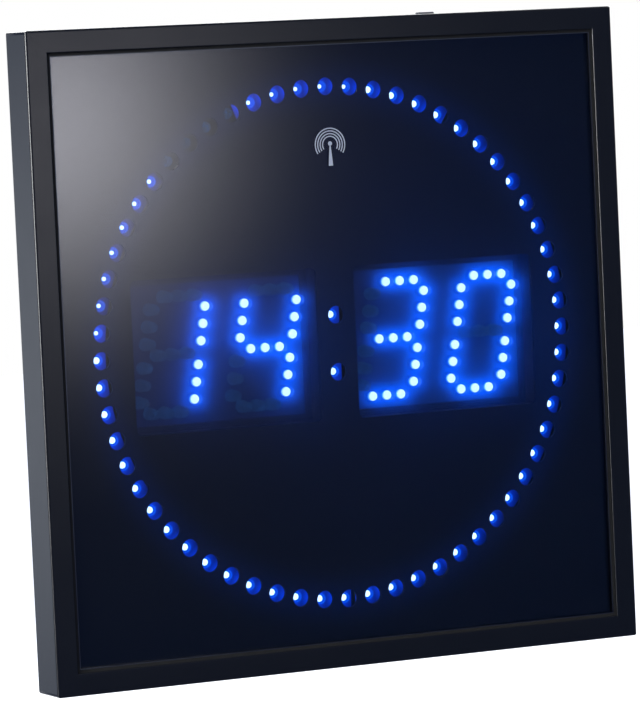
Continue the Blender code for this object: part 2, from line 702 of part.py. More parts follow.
def power_standoffs():
    """Return the standoffs of the power board, on the dial side of the socket."""
    y = power_board_top() - POWER_STANDOFF_INSET
    reach = POWER_BOARD_WIDTH / 2 - POWER_STANDOFF_INSET
    return [(JACK_X - reach, y), (JACK_X + reach, y)]


def receiver_standoffs():
    """Return the standoffs of the receiver board."""
    y = RECEIVER_Y + RECEIVER_HEIGHT / 2 - RECEIVER_STANDOFF_INSET
    reach = RECEIVER_WIDTH / 2 - RECEIVER_STANDOFF_INSET
    return [(-reach, y), (reach, y)]


def power_board_top():
    """Return the height of the power board's edge that faces the dial."""
    return -PANEL_HALF + POWER_BOARD_LENGTH


def jack_level():
    """Return the level of the socket's bore."""
    return COVER_THICKNESS + FIT_GAP + JACK_HEIGHT / 2


def key_lead_x():
    """Return where the top key's lead leaves its board."""
    return KEY_X + KEY_BOARD_LENGTH / 2 - KEY_LEAD_INSET


def build_front():
    """Build the glossy pane, the black mask behind it and the two window lenses."""
    pane = block_mesh(2 * PANEL_HALF, 2 * PANEL_HALF, PANE_THICKNESS)
    add_part("front_pane", pane, PANE_TINT, (0, 0, middle(PANE_BACK, PANE_FRONT)))

    holes = ring_places(RING_RADIUS, SECONDS) + colon_places()
    outlines = [rectangle(-PANEL_HALF, PANEL_HALF, -PANEL_HALF, PANEL_HALF)]
    outlines += [circle(place, APERTURE_RADIUS, APERTURE_SIDES) for place in holes]
    for side in (-1, 1):
        outlines.append(rounded_rectangle((side * WINDOW_CENTRE_X, 0), WINDOW_HALF_WIDTH,
                                          WINDOW_HALF_HEIGHT, WINDOW_CORNER_RADIUS))
    mask = add_part("mask_plate", outline_mesh(outlines, MASK_THICKNESS), MASK_BLACK,
                    (0, 0, middle(MASK_BACK, MASK_FRONT)))
    rows = (
        (display_standoffs(-1) + display_standoffs(1) + ring_standoffs() + colon_standoffs(),
         BOARD_FRONT),
        (control_standoffs() + receiver_standoffs(), CONTROL_FRONT),
        (power_standoffs(), POWER_FRONT),
    )
    for places, board_front in rows:
        low = board_front + FIT_GAP
        high = MASK_BACK + SINK
        post = cylinder_mesh(STANDOFF_RADIUS, high - low, STANDOFF_SIDES)
        shape(mask, "UNION", repeated_mesh(post, places), (0, 0, middle(low, high)))

    flange = outline_mesh([rounded_rectangle((0, 0), WINDOW_HALF_WIDTH + LENS_LIP,
                                             WINDOW_HALF_HEIGHT + LENS_LIP,
                                             WINDOW_CORNER_RADIUS)], LENS_FLANGE_THICKNESS)
    face_low = LENS_BACK + LENS_FLANGE_THICKNESS / 2
    face = outline_mesh([rounded_rectangle((0, 0), WINDOW_HALF_WIDTH - FIT_GAP,
                                           WINDOW_HALF_HEIGHT - FIT_GAP,
                                           WINDOW_CORNER_RADIUS)], MASK_FRONT - face_low)
    for side, name in ((-1, "hour"), (1, "minute")):
        x = side * WINDOW_CENTRE_X
        lens = add_part(name + "_window_lens", flange, LENS_BLUE,
                        (x, 0, LENS_BACK + LENS_FLANGE_THICKNESS / 2))
        shape(lens, "UNION", face.copy(), (x, 0, middle(face_low, MASK_FRONT)))


def led_mesh():
    """Return a round LED that stands on a board, sunk a little way into it."""
    return turned_mesh([
        (0, LED_HEIGHT),
        (LED_RADIUS, LED_SHOULDER_SHARE * LED_HEIGHT),
        (LED_RADIUS, -SINK),
        (0, -SINK),
    ], LED_SIDES)


def add_led_board(name, outlines, leds, screws):
    """Build a board with its LEDs in front and its fixing screws' heads behind."""
    board = add_part(name, outline_mesh(outlines, BOARD_THICKNESS), BOARD_GREEN,
                     (0, 0, middle(BOARD_BACK, BOARD_FRONT)))
    shape(board, "UNION", repeated_mesh(led_mesh(), leds), (0, 0, BOARD_FRONT))
    add_screw_heads(board, screws, BOARD_BACK)


def add_screw_heads(board, places, board_back):
    """Fuse the heads of the fixing screws to the back of a board."""
    low = board_back - BOARD_SCREW_HEAD
    high = board_back + SINK
    head = cylinder_mesh(BOARD_SCREW_RADIUS, high - low, BOARD_SCREW_SIDES)
    shape(board, "UNION", repeated_mesh(head, places), (0, 0, middle(low, high)))


def build_displays():
    """Build the four boards that carry LEDs."""
    outer = circle((0, 0), RING_BOARD_OUTER_RADIUS, SECONDS)
    inner = circle((0, 0), RING_BOARD_INNER_RADIUS, SECONDS)
    add_led_board("seconds_ring_board", [outer, inner], ring_places(RING_RADIUS, SECONDS),
                  ring_standoffs())
    for side, name in ((-1, "hour"), (1, "minute")):
        centre = side * WINDOW_CENTRE_X
        edge = rectangle(centre - DISPLAY_BOARD_HALF_WIDTH, centre + DISPLAY_BOARD_HALF_WIDTH,
                         -DISPLAY_BOARD_HALF_HEIGHT, DISPLAY_BOARD_HALF_HEIGHT)
        add_led_board(name + "_display_board", [edge], display_places(side),
                      display_standoffs(side))
    edge = rectangle(-COLON_BOARD_HALF_WIDTH, COLON_BOARD_HALF_WIDTH,
                     -COLON_BOARD_HALF_HEIGHT, COLON_BOARD_HALF_HEIGHT)
    add_led_board("colon_board", [edge], colon_places(), colon_standoffs())


def button_places():
    """Return the places of the push buttons, from left to right."""
    return [(BUTTON_FIRST_X + index * BUTTON_PITCH, BUTTON_Y) for index in range(len(BUTTON_NAMES))]


def build_control_board():
    """Build the control board with its soldered switch bodies, and the chips on it."""
    size_y = CONTROL_TOP - CONTROL_BOTTOM
    board = add_part("control_board", block_mesh(CONTROL_WIDTH, size_y, BOARD_THICKNESS),
                     BOARD_GREEN,
                     (0, middle(CONTROL_BOTTOM, CONTROL_TOP), middle(CONTROL_BACK, CONTROL_FRONT)))
    low = CONTROL_BACK - SWITCH_HEIGHT
    high = CONTROL_BACK + SINK
    body = block_mesh(SWITCH_SIDE, SWITCH_SIDE, high - low)
    shape(board, "UNION", repeated_mesh(body, button_places()), (0, 0, middle(low, high)))
    bore_low = low - OVERRUN
    bore_high = low + STEM_ENGAGEMENT + BUTTON_TRAVEL + FIT_GAP
    bore = cylinder_mesh(STEM_RADIUS + FIT_GAP, bore_high - bore_low, STEM_SIDES)
    shape(board, "DIFFERENCE", repeated_mesh(bore, button_places()),
          (0, 0, middle(bore_low, bore_high)))
    add_screw_heads(board, control_standoffs(), CONTROL_BACK)

    seat = CONTROL_BACK - FIT_GAP
    chip_y = CONTROL_TOP - CHIP_BOARD_EDGE
    add_part("mcu_chip", block_mesh(CHIP_SIDE, CHIP_SIDE, CHIP_HEIGHT), CHIP_BLACK,
             (CHIP_X, chip_y, seat - CHIP_HEIGHT / 2))
    crystal_x = CHIP_X - CHIP_SIDE / 2 - CRYSTAL_SPACE - CRYSTAL_LENGTH / 2
    outline = rounded_rectangle((0, 0), CRYSTAL_LENGTH / 2, CRYSTAL_WIDTH / 2, CRYSTAL_WIDTH / 2)
    add_part("quartz_crystal", outline_mesh([outline], CRYSTAL_HEIGHT), BRIGHT_STEEL,
             (crystal_x, chip_y, seat - CRYSTAL_HEIGHT / 2))


def cap_mesh():
    """Return a button's cap: dished head, retaining flange and plunger."""
    head_end = CAP_RECESS
    flange_low = COVER_THICKNESS + FIT_GAP
    flange_high = flange_low + CAP_FLANGE_THICKNESS
    plunger_end = flange_high + CAP_PLUNGER_LENGTH
    return turned_mesh([
        (0, head_end + CAP_DISH),
        (CAP_RADIUS - 2 * CAP_EDGE, head_end),
        (CAP_RADIUS - CAP_EDGE, head_end),
        (CAP_RADIUS, head_end + CAP_EDGE),
        (CAP_RADIUS, flange_low),
        (CAP_FLANGE_RADIUS, flange_low),
        (CAP_FLANGE_RADIUS, flange_high),
        (STEM_RADIUS, flange_high),
        (STEM_RADIUS, plunger_end),
        (0, plunger_end),
    ], CAP_SIDES)


def build_buttons():
    """Build each push button's cap and the switch stem that it works."""
    cap = cap_mesh()
    tip = COVER_THICKNESS + FIT_GAP + CAP_FLANGE_THICKNESS + CAP_PLUNGER_LENGTH + FIT_GAP
    root = tip + STEM_PROUD + STEM_ENGAGEMENT
    stem = cylinder_mesh(STEM_RADIUS, root - tip, STEM_SIDES)
    for name, (x, y) in zip(BUTTON_NAMES, button_places()):
        add_part(name + "_button_cap", cap, RUBBER_GREY, (x, y, 0))
        add_part(name + "_switch_stem", stem, CHIP_BLACK, (x, y, middle(tip, root)))


def build_brightness_switch():
    """Build the slide switch on the control board and its knob."""
    high = CONTROL_BACK - FIT_GAP
    low = high - SLIDER_HEIGHT
    body = add_part("brightness_switch", block_mesh(SLIDER_LENGTH, SLIDER_WIDTH, SLIDER_HEIGHT),
                    BRIGHT_STEEL, (SLIDER_X, BUTTON_Y, middle(low, high)))
    track_depth = KNOB_ROOT_DEPTH + FIT_GAP
    track = block_mesh(KNOB_LENGTH + 2 * (SLIDER_TRAVEL + FIT_GAP), KNOB_ROOT_WIDTH + 2 * FIT_GAP,
                       track_depth + OVERRUN)
    shape(body, "DIFFERENCE", track, (SLIDER_X, BUTTON_Y, middle(low - OVERRUN, low + track_depth)))

    handle_high = low - FIT_GAP
    knob = add_part("brightness_knob",
                    block_mesh(KNOB_LENGTH, KNOB_WIDTH, handle_high - KNOB_RECESS), CLIP_WHITE,
                    (SLIDER_X, BUTTON_Y, middle(KNOB_RECESS, handle_high)))
    root_low = handle_high - SINK
    root_high = low + KNOB_ROOT_DEPTH
    root = block_mesh(KNOB_LENGTH, KNOB_ROOT_WIDTH, root_high - root_low)
    shape(knob, "UNION", root, (SLIDER_X, BUTTON_Y, middle(root_low, root_high)))


def build_battery():
    """Build the coin cell, its well and the door over it."""
    rim = COVER_THICKNESS + FIT_GAP
    top = CONTROL_BACK - FIT_GAP
    floor = top - HOLDER_FLOOR
    well_radius = HOLDER_RADIUS - HOLDER_WALL
    holder = add_part("cell_holder", turned_mesh([
        (0, top), (HOLDER_RADIUS, top), (HOLDER_RADIUS, rim), (well_radius, rim),
        (well_radius, floor), (0, floor),
    ], ROUND_SIDES), CHIP_BLACK, (CELL_X, CELL_Y, 0))
    notch_high = floor - HOLDER_RIM
    notch = block_mesh(2 * HOLDER_RADIUS + 2 * OVERRUN, HOLDER_NOTCH, notch_high - rim + OVERRUN)
    shape(holder, "DIFFERENCE", notch, (CELL_X, CELL_Y, middle(rim - OVERRUN, notch_high)))

    cell_high = floor - FIT_GAP
    cell_low = cell_high - CELL_THICKNESS
    cell_radius = well_radius - FIT_GAP
    add_part("coin_cell", turned_mesh([
        (0, cell_high), (cell_radius - CELL_EDGE, cell_high), (cell_radius, cell_high - CELL_EDGE),
        (cell_radius, cell_low), (0, cell_low),
    ], ROUND_SIDES), BRIGHT_STEEL, (CELL_X, CELL_Y, 0))

    door = add_part("battery_door",
                    outline_mesh([rounded_rectangle((0, 0), DOOR_HALF, DOOR_HALF,
                                                    DOOR_CORNER_RADIUS)], COVER_THICKNESS),
                    COVER_BLACK, (CELL_X, CELL_Y, COVER_THICKNESS / 2))
    grip = block_mesh(DOOR_GRIP_LENGTH, DOOR_GRIP_WIDTH, DOOR_GRIP_DEPTH + OVERRUN)
    grip_y = CELL_Y + DOOR_HALF - DOOR_GRIP_EDGE - DOOR_GRIP_WIDTH / 2
    shape(door, "DIFFERENCE", grip, (CELL_X, grip_y, (DOOR_GRIP_DEPTH - OVERRUN) / 2))


def build_power():
    """Build the power board and the socket at the bottom rail."""
    top = power_board_top()
    level = middle(POWER_BACK, POWER_FRONT)
    board = add_part("power_board", block_mesh(POWER_BOARD_WIDTH, POWER_BOARD_LENGTH, BOARD_THICKNESS),
                     BOARD_GREEN, (JACK_X, middle(-PANEL_HALF, top), level))
    add_screw_heads(board, power_standoffs(), POWER_BACK)

    mouth = -PANEL_HALF
    jack = add_part("dc_jack", block_mesh(JACK_WIDTH, JACK_LENGTH, JACK_HEIGHT), CHIP_BLACK,
                    (JACK_X, mouth + JACK_LENGTH / 2, jack_level()))
    along_y = Matrix.Rotation(QUARTER_TURN, 4, "X")
    bore = cylinder_mesh(JACK_BORE_RADIUS, JACK_BORE_DEPTH + OVERRUN, JACK_SIDES, along_y)
    shape(jack, "DIFFERENCE", bore,
          (JACK_X, middle(mouth - OVERRUN, mouth + JACK_BORE_DEPTH), jack_level()))
    pin_low = mouth + JACK_PIN_RECESS
    pin_high = mouth + JACK_BORE_DEPTH + SINK
    pin = cylinder_mesh(JACK_PIN_RADIUS, pin_high - pin_low, PIN_SIDES, along_y)
    shape(jack, "UNION", pin, (JACK_X, middle(pin_low, pin_high), jack_level()))


def build_receiver():
    """Build the aerial, its winding and clips, and the receiver board."""
    board = add_part("receiver_board", block_mesh(RECEIVER_WIDTH, RECEIVER_HEIGHT, BOARD_THICKNESS),
                     BOARD_GREEN, (0, RECEIVER_Y, middle(CONTROL_BACK, CONTROL_FRONT)))
    add_screw_heads(board, receiver_standoffs(), CONTROL_BACK)

    along_x = Matrix.Rotation(QUARTER_TURN, 4, "Y")
    rod = cylinder_mesh(ROD_RADIUS, ROD_LENGTH, ROD_SIDES, along_x)
    add_part("ferrite_rod", rod, FERRITE_GREY, (0, ROD_Y, ROD_LEVEL))
    tube = [circle((0, 0), COIL_RADIUS, ROD_SIDES), circle((0, 0), ROD_RADIUS + FIT_GAP, ROD_SIDES)]
    add_part("aerial_winding", outline_mesh(tube, COIL_LENGTH, along_x), WIRE_COPPER,
             (0, ROD_Y, ROD_LEVEL))

    low = ROD_LEVEL - CLIP_GRIP
    high = MASK_BACK - FIT_GAP
    grip_radius = ROD_RADIUS + FIT_GAP
    for side, name in ((-1, "left"), (1, "right")):
        x = side * CLIP_X
        clip = add_part("rod_clip_" + name,
                        block_mesh(CLIP_WIDTH, 2 * CLIP_HALF_HEIGHT, high - low), CLIP_WHITE,
                        (x, ROD_Y, middle(low, high)))
        seat = cylinder_mesh(grip_radius, CLIP_WIDTH + 2 * OVERRUN, ROD_SIDES, along_x)
        shape(clip, "DIFFERENCE", seat, (x, ROD_Y, ROD_LEVEL))
        mouth = block_mesh(CLIP_WIDTH + 2 * OVERRUN, 2 * CLIP_MOUTH_SHARE * grip_radius,
                           ROD_LEVEL - low + OVERRUN)
        shape(clip, "DIFFERENCE", mouth, (x, ROD_Y, middle(low - OVERRUN, ROD_LEVEL)))


def build_top_key():
    """Build the key in the top rail, its switch in the channel and the switch's stem."""
    inside = CHANNEL_OUTER - FIT_GAP
    flange_low = inside - KEY_FLANGE
    board_low = CHANNEL_INNER + FIT_GAP
    board_high = board_low + BOARD_THICKNESS
    switch_high = board_high + KEY_SWITCH_HEIGHT
    stem_high = switch_high + KEY_STEM_PROUD
    plunger_low = stem_high + FIT_GAP

    head_high = FRAME_HALF + KEY_PROUD
    head = block_mesh(KEY_LENGTH, head_high - flange_low, KEY_WIDTH)
    cap = add_part("top_key_cap", head, RUBBER_GREY, (KEY_X, middle(flange_low, head_high), KEY_LEVEL))
    bevel = cap.modifiers.new("edge", "BEVEL")
    bevel.width = KEY_EDGE
    bevel.segments = 1
    flange = block_mesh(KEY_LENGTH + 2 * KEY_FLANGE_RIM, KEY_FLANGE, KEY_WIDTH + 2 * KEY_FLANGE_RIM)
    shape(cap, "UNION", flange, (KEY_X, middle(flange_low, inside), KEY_LEVEL))
    along_y = Matrix.Rotation(QUARTER_TURN, 4, "X")
    plunger_high = flange_low + SINK
    plunger = cylinder_mesh(KEY_STEM_RADIUS, plunger_high - plunger_low, PIN_SIDES, along_y)
    shape(cap, "UNION", plunger, (KEY_X, middle(plunger_low, plunger_high), KEY_LEVEL))

    board = add_part("top_key_switch",
                     block_mesh(KEY_BOARD_LENGTH, BOARD_THICKNESS, 2 * KEY_BOARD_HALF_DEPTH),
                     BOARD_GREEN, (KEY_X, middle(board_low, board_high), KEY_LEVEL))
    body_low = board_high - SINK
    body = block_mesh(KEY_SWITCH_LENGTH, switch_high - body_low, 2 * (KEY_BOARD_HALF_DEPTH - FIT_GAP))
    shape(board, "UNION", body, (KEY_X, middle(body_low, switch_high), KEY_LEVEL))
    stem_low = switch_high - KEY_STEM_ENGAGEMENT
    bore_low = stem_low - BUTTON_TRAVEL - FIT_GAP
    bore = cylinder_mesh(KEY_STEM_RADIUS + FIT_GAP, switch_high + OVERRUN - bore_low, STEM_SIDES,
                         along_y)
    shape(board, "DIFFERENCE", bore, (KEY_X, middle(bore_low, switch_high + OVERRUN), KEY_LEVEL))
    stem = cylinder_mesh(KEY_STEM_RADIUS, stem_high - stem_low, STEM_SIDES, along_y)
    add_part("top_key_stem", stem, CHIP_BLACK, (KEY_X, middle(stem_low, stem_high), KEY_LEVEL))


def strip_outline(path, thickness):
    """Return the outline of a strip of even thickness that follows a path."""
    sides = ([], [])
    for index, point in enumerate(path):
        before = Vector(path[max(index - 1, 0)])
        after = Vector(path[min(index + 1, len(path) - 1)])
        along = (after - before).normalized()
        across = Vector((-along.y, along.x)) * thickness / 2
        sides[0].append(tuple(Vector(point) + across))
        sides[1].append(tuple(Vector(point) - across))
    return sides[0] + sides[1][::-1]


def add_ribbon(name, x, width, start, edge, other_edge, end):
    """Build a flat ribbon cable that dips from the control board behind another board.

    start and end are the heights where it is soldered, edge and other_edge
    those of the two board edges that it passes.
    """
    high = CONTROL_BACK - FIT_GAP - RIBBON_THICKNESS / 2
    low = BOARD_BACK - FIT_GAP - RIBBON_THICKNESS / 2
    toward = math.copysign(1.0, other_edge - edge)
    turn_high = edge - toward * RIBBON_THICKNESS
    turn_low = other_edge - toward * RIBBON_THICKNESS
    path = [(start, high), (turn_high, high),
            (turn_high + (turn_low - turn_high) / 3, high + (low - high) / 4),
            (turn_high + (turn_low - turn_high) * 2 / 3, high + (low - high) * 3 / 4),
            (turn_low, low), (end, low)]
    cyclic = Matrix(((0, 0, 1, 0), (1, 0, 0, 0), (0, 1, 0, 0), (0, 0, 0, 1)))
    mesh = outline_mesh([strip_outline(path, RIBBON_THICKNESS)], width, cyclic)
    add_part(name, mesh, RIBBON_GREY, (x, 0, 0))


def build_ribbons():
    """Build the ribbons from the control board to the four LED boards."""
    inner_standoff = WINDOW_CENTRE_X - DISPLAY_STANDOFF_X
    x = inner_standoff + STANDOFF_RADIUS + RIBBON_SCREW_SPACE + RIBBON_WIDTH / 2
    start = CONTROL_TOP - RIBBON_LANDING
    end = -DISPLAY_BOARD_HALF_HEIGHT + RIBBON_REACH
    for side, name in ((-1, "hour"), (1, "minute")):
        add_ribbon(name + "_ribbon", side * x, RIBBON_WIDTH, start, CONTROL_TOP,
                   -DISPLAY_BOARD_HALF_HEIGHT, end)
    add_ribbon("colon_ribbon", 0, COLON_RIBBON_WIDTH, start, CONTROL_TOP,
               -COLON_BOARD_HALF_HEIGHT, -COLON_BOARD_HALF_HEIGHT + RIBBON_REACH)
    ring_x = -RIBBON_SCREW_SPACE - RING_RIBBON_WIDTH
    ring_edge = -math.sqrt(RING_BOARD_INNER_RADIUS ** 2 - (ring_x - RING_RIBBON_WIDTH / 2) ** 2)
    add_ribbon("ring_ribbon", ring_x, RING_RIBBON_WIDTH, CONTROL_BOTTOM + LEAD_LANDING,
               CONTROL_BOTTOM, ring_edge, ring_edge - RIBBON_REACH)


def smooth_route(route):
    """Return points at an even spacing on a smooth curve through a route's points."""
    knots = [Vector(point) for point in route]
    knots = [2 * knots[0] - knots[1]] + knots + [2 * knots[-1] - knots[-2]]
    points = []
    for index in range(1, len(knots) - 2):
        before, start, end, after = knots[index - 1:index + 3]
        steps = max(1, round((end - start).length / LEAD_SPACING))
        for step in range(steps):
            t = step / steps
            points.append(0.5 * (2 * start + (end - before) * t
                                 + (2 * before - 5 * start + 4 * end - after) * t ** 2
                                 + (3 * start - before - 3 * end + after) * t ** 3))
    points.append(knots[-2])
    return points


def add_lead(name, route, radius):
    """Build a round lead along a smooth curve through a route's points."""
    curve = bpy.data.curves.new(name, "CURVE")
    curve.dimensions = "3D"
    curve.bevel_depth = radius
    curve.bevel_resolution = 2
    curve.use_fill_caps = True
    points = smooth_route(route)
    spline = curve.splines.new("POLY")
    spline.points.add(len(points) - 1)
    for point, place in zip(spline.points, points):
        point.co = (*place, 1)
    mesh = welded(evaluated_mesh(bpy.data.objects.new(name, curve)))
    add_part(name, mesh, LEAD_BLACK)


def build_leads():
    """Build the leads of the power board, the receiver and the top key."""
    power_low = POWER_BACK - FIT_GAP - POWER_LEAD_RADIUS
    control_low = CONTROL_BACK - FIT_GAP - POWER_LEAD_RADIUS
    gap_y = -RING_RADIUS * math.cos(SECOND_ANGLE / 2)
    add_lead("power_lead", [
        (JACK_X, power_board_top() - LEAD_LANDING, power_low),
        (JACK_X, power_board_top(), power_low),
        (JACK_X, gap_y, middle(power_low, control_low)),
        (JACK_X, CONTROL_BOTTOM, control_low),
        (JACK_X, CONTROL_BOTTOM + LEAD_LANDING, control_low),
    ], POWER_LEAD_RADIUS)

    level = CONTROL_BACK - FIT_GAP - LEAD_RADIUS
    receiver_edge = RECEIVER_Y - RECEIVER_HEIGHT / 2
    strip_x = COLON_STRIP_HALF
    add_lead("receiver_lead", [
        (strip_x, receiver_edge + LEAD_LANDING, level),
        (strip_x, receiver_edge, level),
        (strip_x, DISPLAY_BOARD_HALF_HEIGHT / 2, level),
        (strip_x, 0, level),
        (strip_x, -DISPLAY_BOARD_HALF_HEIGHT / 2, level),
        (strip_x, CONTROL_TOP, level),
        (strip_x, CONTROL_TOP - LEAD_LANDING, level),
    ], LEAD_RADIUS)

    gap_angle = KEY_LEAD_SECOND * SECOND_ANGLE
    gap = (RING_RADIUS * math.sin(gap_angle), RING_RADIUS * math.cos(gap_angle))
    ring_clear = RING_BOARD_OUTER_RADIUS + RING_BOARD_OUTER_MARGIN
    outside = (ring_clear * math.sin(gap_angle), ring_clear * math.cos(gap_angle))
    inside_reach = RING_BOARD_INNER_RADIUS - RING_BOARD_INNER_MARGIN
    inside = (inside_reach * math.sin(gap_angle), inside_reach * math.cos(gap_angle))
    landing = RECEIVER_WIDTH / 2
    landing_y = RECEIVER_Y - RECEIVER_HEIGHT / 4
    start = key_lead_x()
    add_lead("top_key_lead", [
        (start, CHANNEL_INNER, KEY_LEVEL),
        (start, CHANNEL_INNER - CHANNEL_WALL, KEY_LEVEL),
        (start, FRAME_OPENING_HALF - RECEIVER_SPACE / 2, middle(KEY_LEVEL, level)),
        (*outside, level),
        (*gap, level),
        (*inside, level),
        (landing + RECEIVER_WIDTH / 2, RECEIVER_Y + RECEIVER_HEIGHT / 2, level),
        (landing + LEAD_LANDING, RECEIVER_Y, level),
        (landing, landing_y, level),
        (landing - LEAD_LANDING / 2, landing_y, level),
    ], LEAD_RADIUS)


def keyhole_outline(centre):
    """Return a keyhole: a round hole for a screw's head with a slot above it."""
    x, y = centre
    shoulder = math.degrees(math.asin(KEYHOLE_SLOT_RADIUS / KEYHOLE_HEAD_RADIUS))
    head = arc((x, y), KEYHOLE_HEAD_RADIUS, 90 + shoulder, 450 - shoulder, 3 * ROUND_STEPS)
    slot = arc((x, y + KEYHOLE_RISE), KEYHOLE_SLOT_RADIUS, 0, 180, ROUND_STEPS)
    return head + slot


def build_cover():
    """Build the back cover, its screws and the keyhole plates behind it."""
    half_thickness = COVER_THICKNESS / 2
    edge = rounded_rectangle((0, 0), PANEL_HALF, PANEL_HALF, COVER_CORNER_RADIUS)
    cover = add_part("back_cover", outline_mesh([edge], COVER_THICKNESS), COVER_BLACK, (0, 0, half_thickness))

    openings = [circle(place, CAP_RADIUS + FIT_GAP, CAP_SIDES) for place in button_places()]
    slot_half_length = KNOB_LENGTH / 2 + SLIDER_TRAVEL + FIT_GAP
    slot_half_width = KNOB_WIDTH / 2 + FIT_GAP
    openings.append(rectangle(SLIDER_X - slot_half_length, SLIDER_X + slot_half_length,
                              BUTTON_Y - slot_half_width, BUTTON_Y + slot_half_width))
    openings.append(rounded_rectangle((CELL_X, CELL_Y), DOOR_HALF + FIT_GAP, DOOR_HALF + FIT_GAP,
                                      DOOR_CORNER_RADIUS))
    window_half_width = KEYHOLE_HEAD_RADIUS + KEYHOLE_WINDOW_RIM
    window_half_height = window_half_width + KEYHOLE_RISE / 2
    keyhole_mid_y = KEYHOLE_Y + KEYHOLE_RISE / 2
    for side in (-1, 1):
        openings.append(rounded_rectangle((side * KEYHOLE_X, keyhole_mid_y), window_half_width,
                                          window_half_height, KEYHOLE_WINDOW_RIM))
    through = COVER_THICKNESS + 2 * OVERRUN
    for opening in openings:
        shape(cover, "DIFFERENCE", outline_mesh([opening], through), (0, 0, half_thickness))
    vent = outline_mesh([upright_slot((0, 0), VENT_LENGTH, VENT_WIDTH)], through)
    vents = [((index - (VENT_COUNT - 1) / 2) * VENT_PITCH, rise)
             for rise in (-VENT_RISE, VENT_RISE) for index in range(VENT_COUNT)]
    shape(cover, "DIFFERENCE", repeated_mesh(vent, vents), (0, 0, half_thickness))

    corners = [(side * CHANNEL_MIDDLE, up * CHANNEL_MIDDLE) for side in (-1, 1) for up in (-1, 1)]
    head_end = SCREW_RECESS + SCREW_HEAD_HEIGHT
    sink = turned_mesh([
        (0, COVER_THICKNESS + OVERRUN), (SCREW_RADIUS + FIT_GAP, COVER_THICKNESS + OVERRUN),
        (SCREW_RADIUS + FIT_GAP, head_end), (SCREW_HEAD_RADIUS + FIT_GAP, SCREW_RECESS),
        (SCREW_HEAD_RADIUS + FIT_GAP, -OVERRUN), (0, -OVERRUN),
    ], SCREW_SIDES)
    shape(cover, "DIFFERENCE", repeated_mesh(sink, corners))
    tip = CHANNEL_TOP - FIT_GAP - SCREW_TIP_GAP
    screw = turned_mesh([
        (0, tip), (SCREW_RADIUS, tip), (SCREW_RADIUS, head_end),
        (SCREW_HEAD_RADIUS, SCREW_RECESS), (0, SCREW_RECESS),
    ], SCREW_SIDES)
    names = ("bottom_left", "top_left", "bottom_right", "top_right")
    for name, (x, y) in zip(names, corners):
        add_part("cover_screw_" + name, screw, BRIGHT_STEEL, (x, y, 0))

    plate_low = COVER_THICKNESS + FIT_GAP
    rim = KEYHOLE_PLATE_RIM
    plate_half_width = KEYHOLE_HEAD_RADIUS + rim
    plate_half_height = plate_half_width + KEYHOLE_RISE / 2
    for side, name in ((-1, "left"), (1, "right")):
        centre = (0, -KEYHOLE_RISE / 2)
        edge = rounded_rectangle((0, 0), plate_half_width, plate_half_height, KEYHOLE_WINDOW_RIM)
        plate = outline_mesh([edge, keyhole_outline(centre)], KEYHOLE_PLATE_THICKNESS)
        add_part("keyhole_plate_" + name, plate, BRIGHT_STEEL,
                 (side * KEYHOLE_X, keyhole_mid_y, plate_low + KEYHOLE_PLATE_THICKNESS / 2))


build_frame()
build_corner_keys()
build_packing()
build_front()
build_displays()
build_control_board()
build_buttons()
build_brightness_switch()
build_battery()
build_power()
build_receiver()
build_top_key()
build_ribbons()
build_leads()
build_cover()
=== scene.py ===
"""Looks of a radio-controlled LED wall clock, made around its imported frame.

The clock's pieces are laid out on its dial: x runs across, y up and z out of
the wall, with z = 0 at the back of the clock. DIAL turns that layout upright
in the frame, where the front faces -Y and the wall is the plane Y = 0.
"""

import json
import logging
import math
from dataclasses import dataclass, field
from enum import Enum

import bmesh
import bpy
from mathutils import Matrix, Vector

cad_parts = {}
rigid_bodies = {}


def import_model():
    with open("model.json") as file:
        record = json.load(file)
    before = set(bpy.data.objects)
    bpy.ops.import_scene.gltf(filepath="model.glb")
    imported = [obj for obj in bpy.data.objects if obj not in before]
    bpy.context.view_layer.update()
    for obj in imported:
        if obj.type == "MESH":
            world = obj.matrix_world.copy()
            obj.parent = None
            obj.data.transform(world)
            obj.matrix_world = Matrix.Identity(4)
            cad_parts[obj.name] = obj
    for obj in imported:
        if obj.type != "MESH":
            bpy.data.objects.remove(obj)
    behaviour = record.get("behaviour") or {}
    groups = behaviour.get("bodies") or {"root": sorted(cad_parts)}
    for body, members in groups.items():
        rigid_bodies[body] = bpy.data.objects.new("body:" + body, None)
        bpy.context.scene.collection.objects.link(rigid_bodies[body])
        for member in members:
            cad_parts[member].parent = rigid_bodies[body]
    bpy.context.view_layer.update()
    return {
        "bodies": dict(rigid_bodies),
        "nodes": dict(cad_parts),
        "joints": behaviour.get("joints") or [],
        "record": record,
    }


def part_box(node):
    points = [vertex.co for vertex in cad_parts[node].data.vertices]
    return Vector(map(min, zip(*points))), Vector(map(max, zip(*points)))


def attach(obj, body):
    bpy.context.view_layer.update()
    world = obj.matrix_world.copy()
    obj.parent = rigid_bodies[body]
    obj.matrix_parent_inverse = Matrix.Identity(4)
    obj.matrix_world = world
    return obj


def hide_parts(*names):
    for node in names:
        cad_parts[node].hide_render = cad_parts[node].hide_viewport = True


LOG = logging.getLogger("clock")
MM = 0.001
IMAGE_HEIGHT = 703
SENSOR = 36.0
SQUARE_SET = 0.9999
SHARP_ANGLE = math.radians(35.0)
WELD = 0.001 * MM
LIGHT_ATTRIBUTE = "light"

DIAL = Matrix.Rotation(math.pi / 2, 4, "X")

Colour = tuple[float, float, float]
Point = tuple[float, float]
Place = tuple[float, float, float]


def dial_matrix() -> Matrix:
    """Return the matrix that stands the dial's layout upright in the frame."""
    return DIAL.copy()


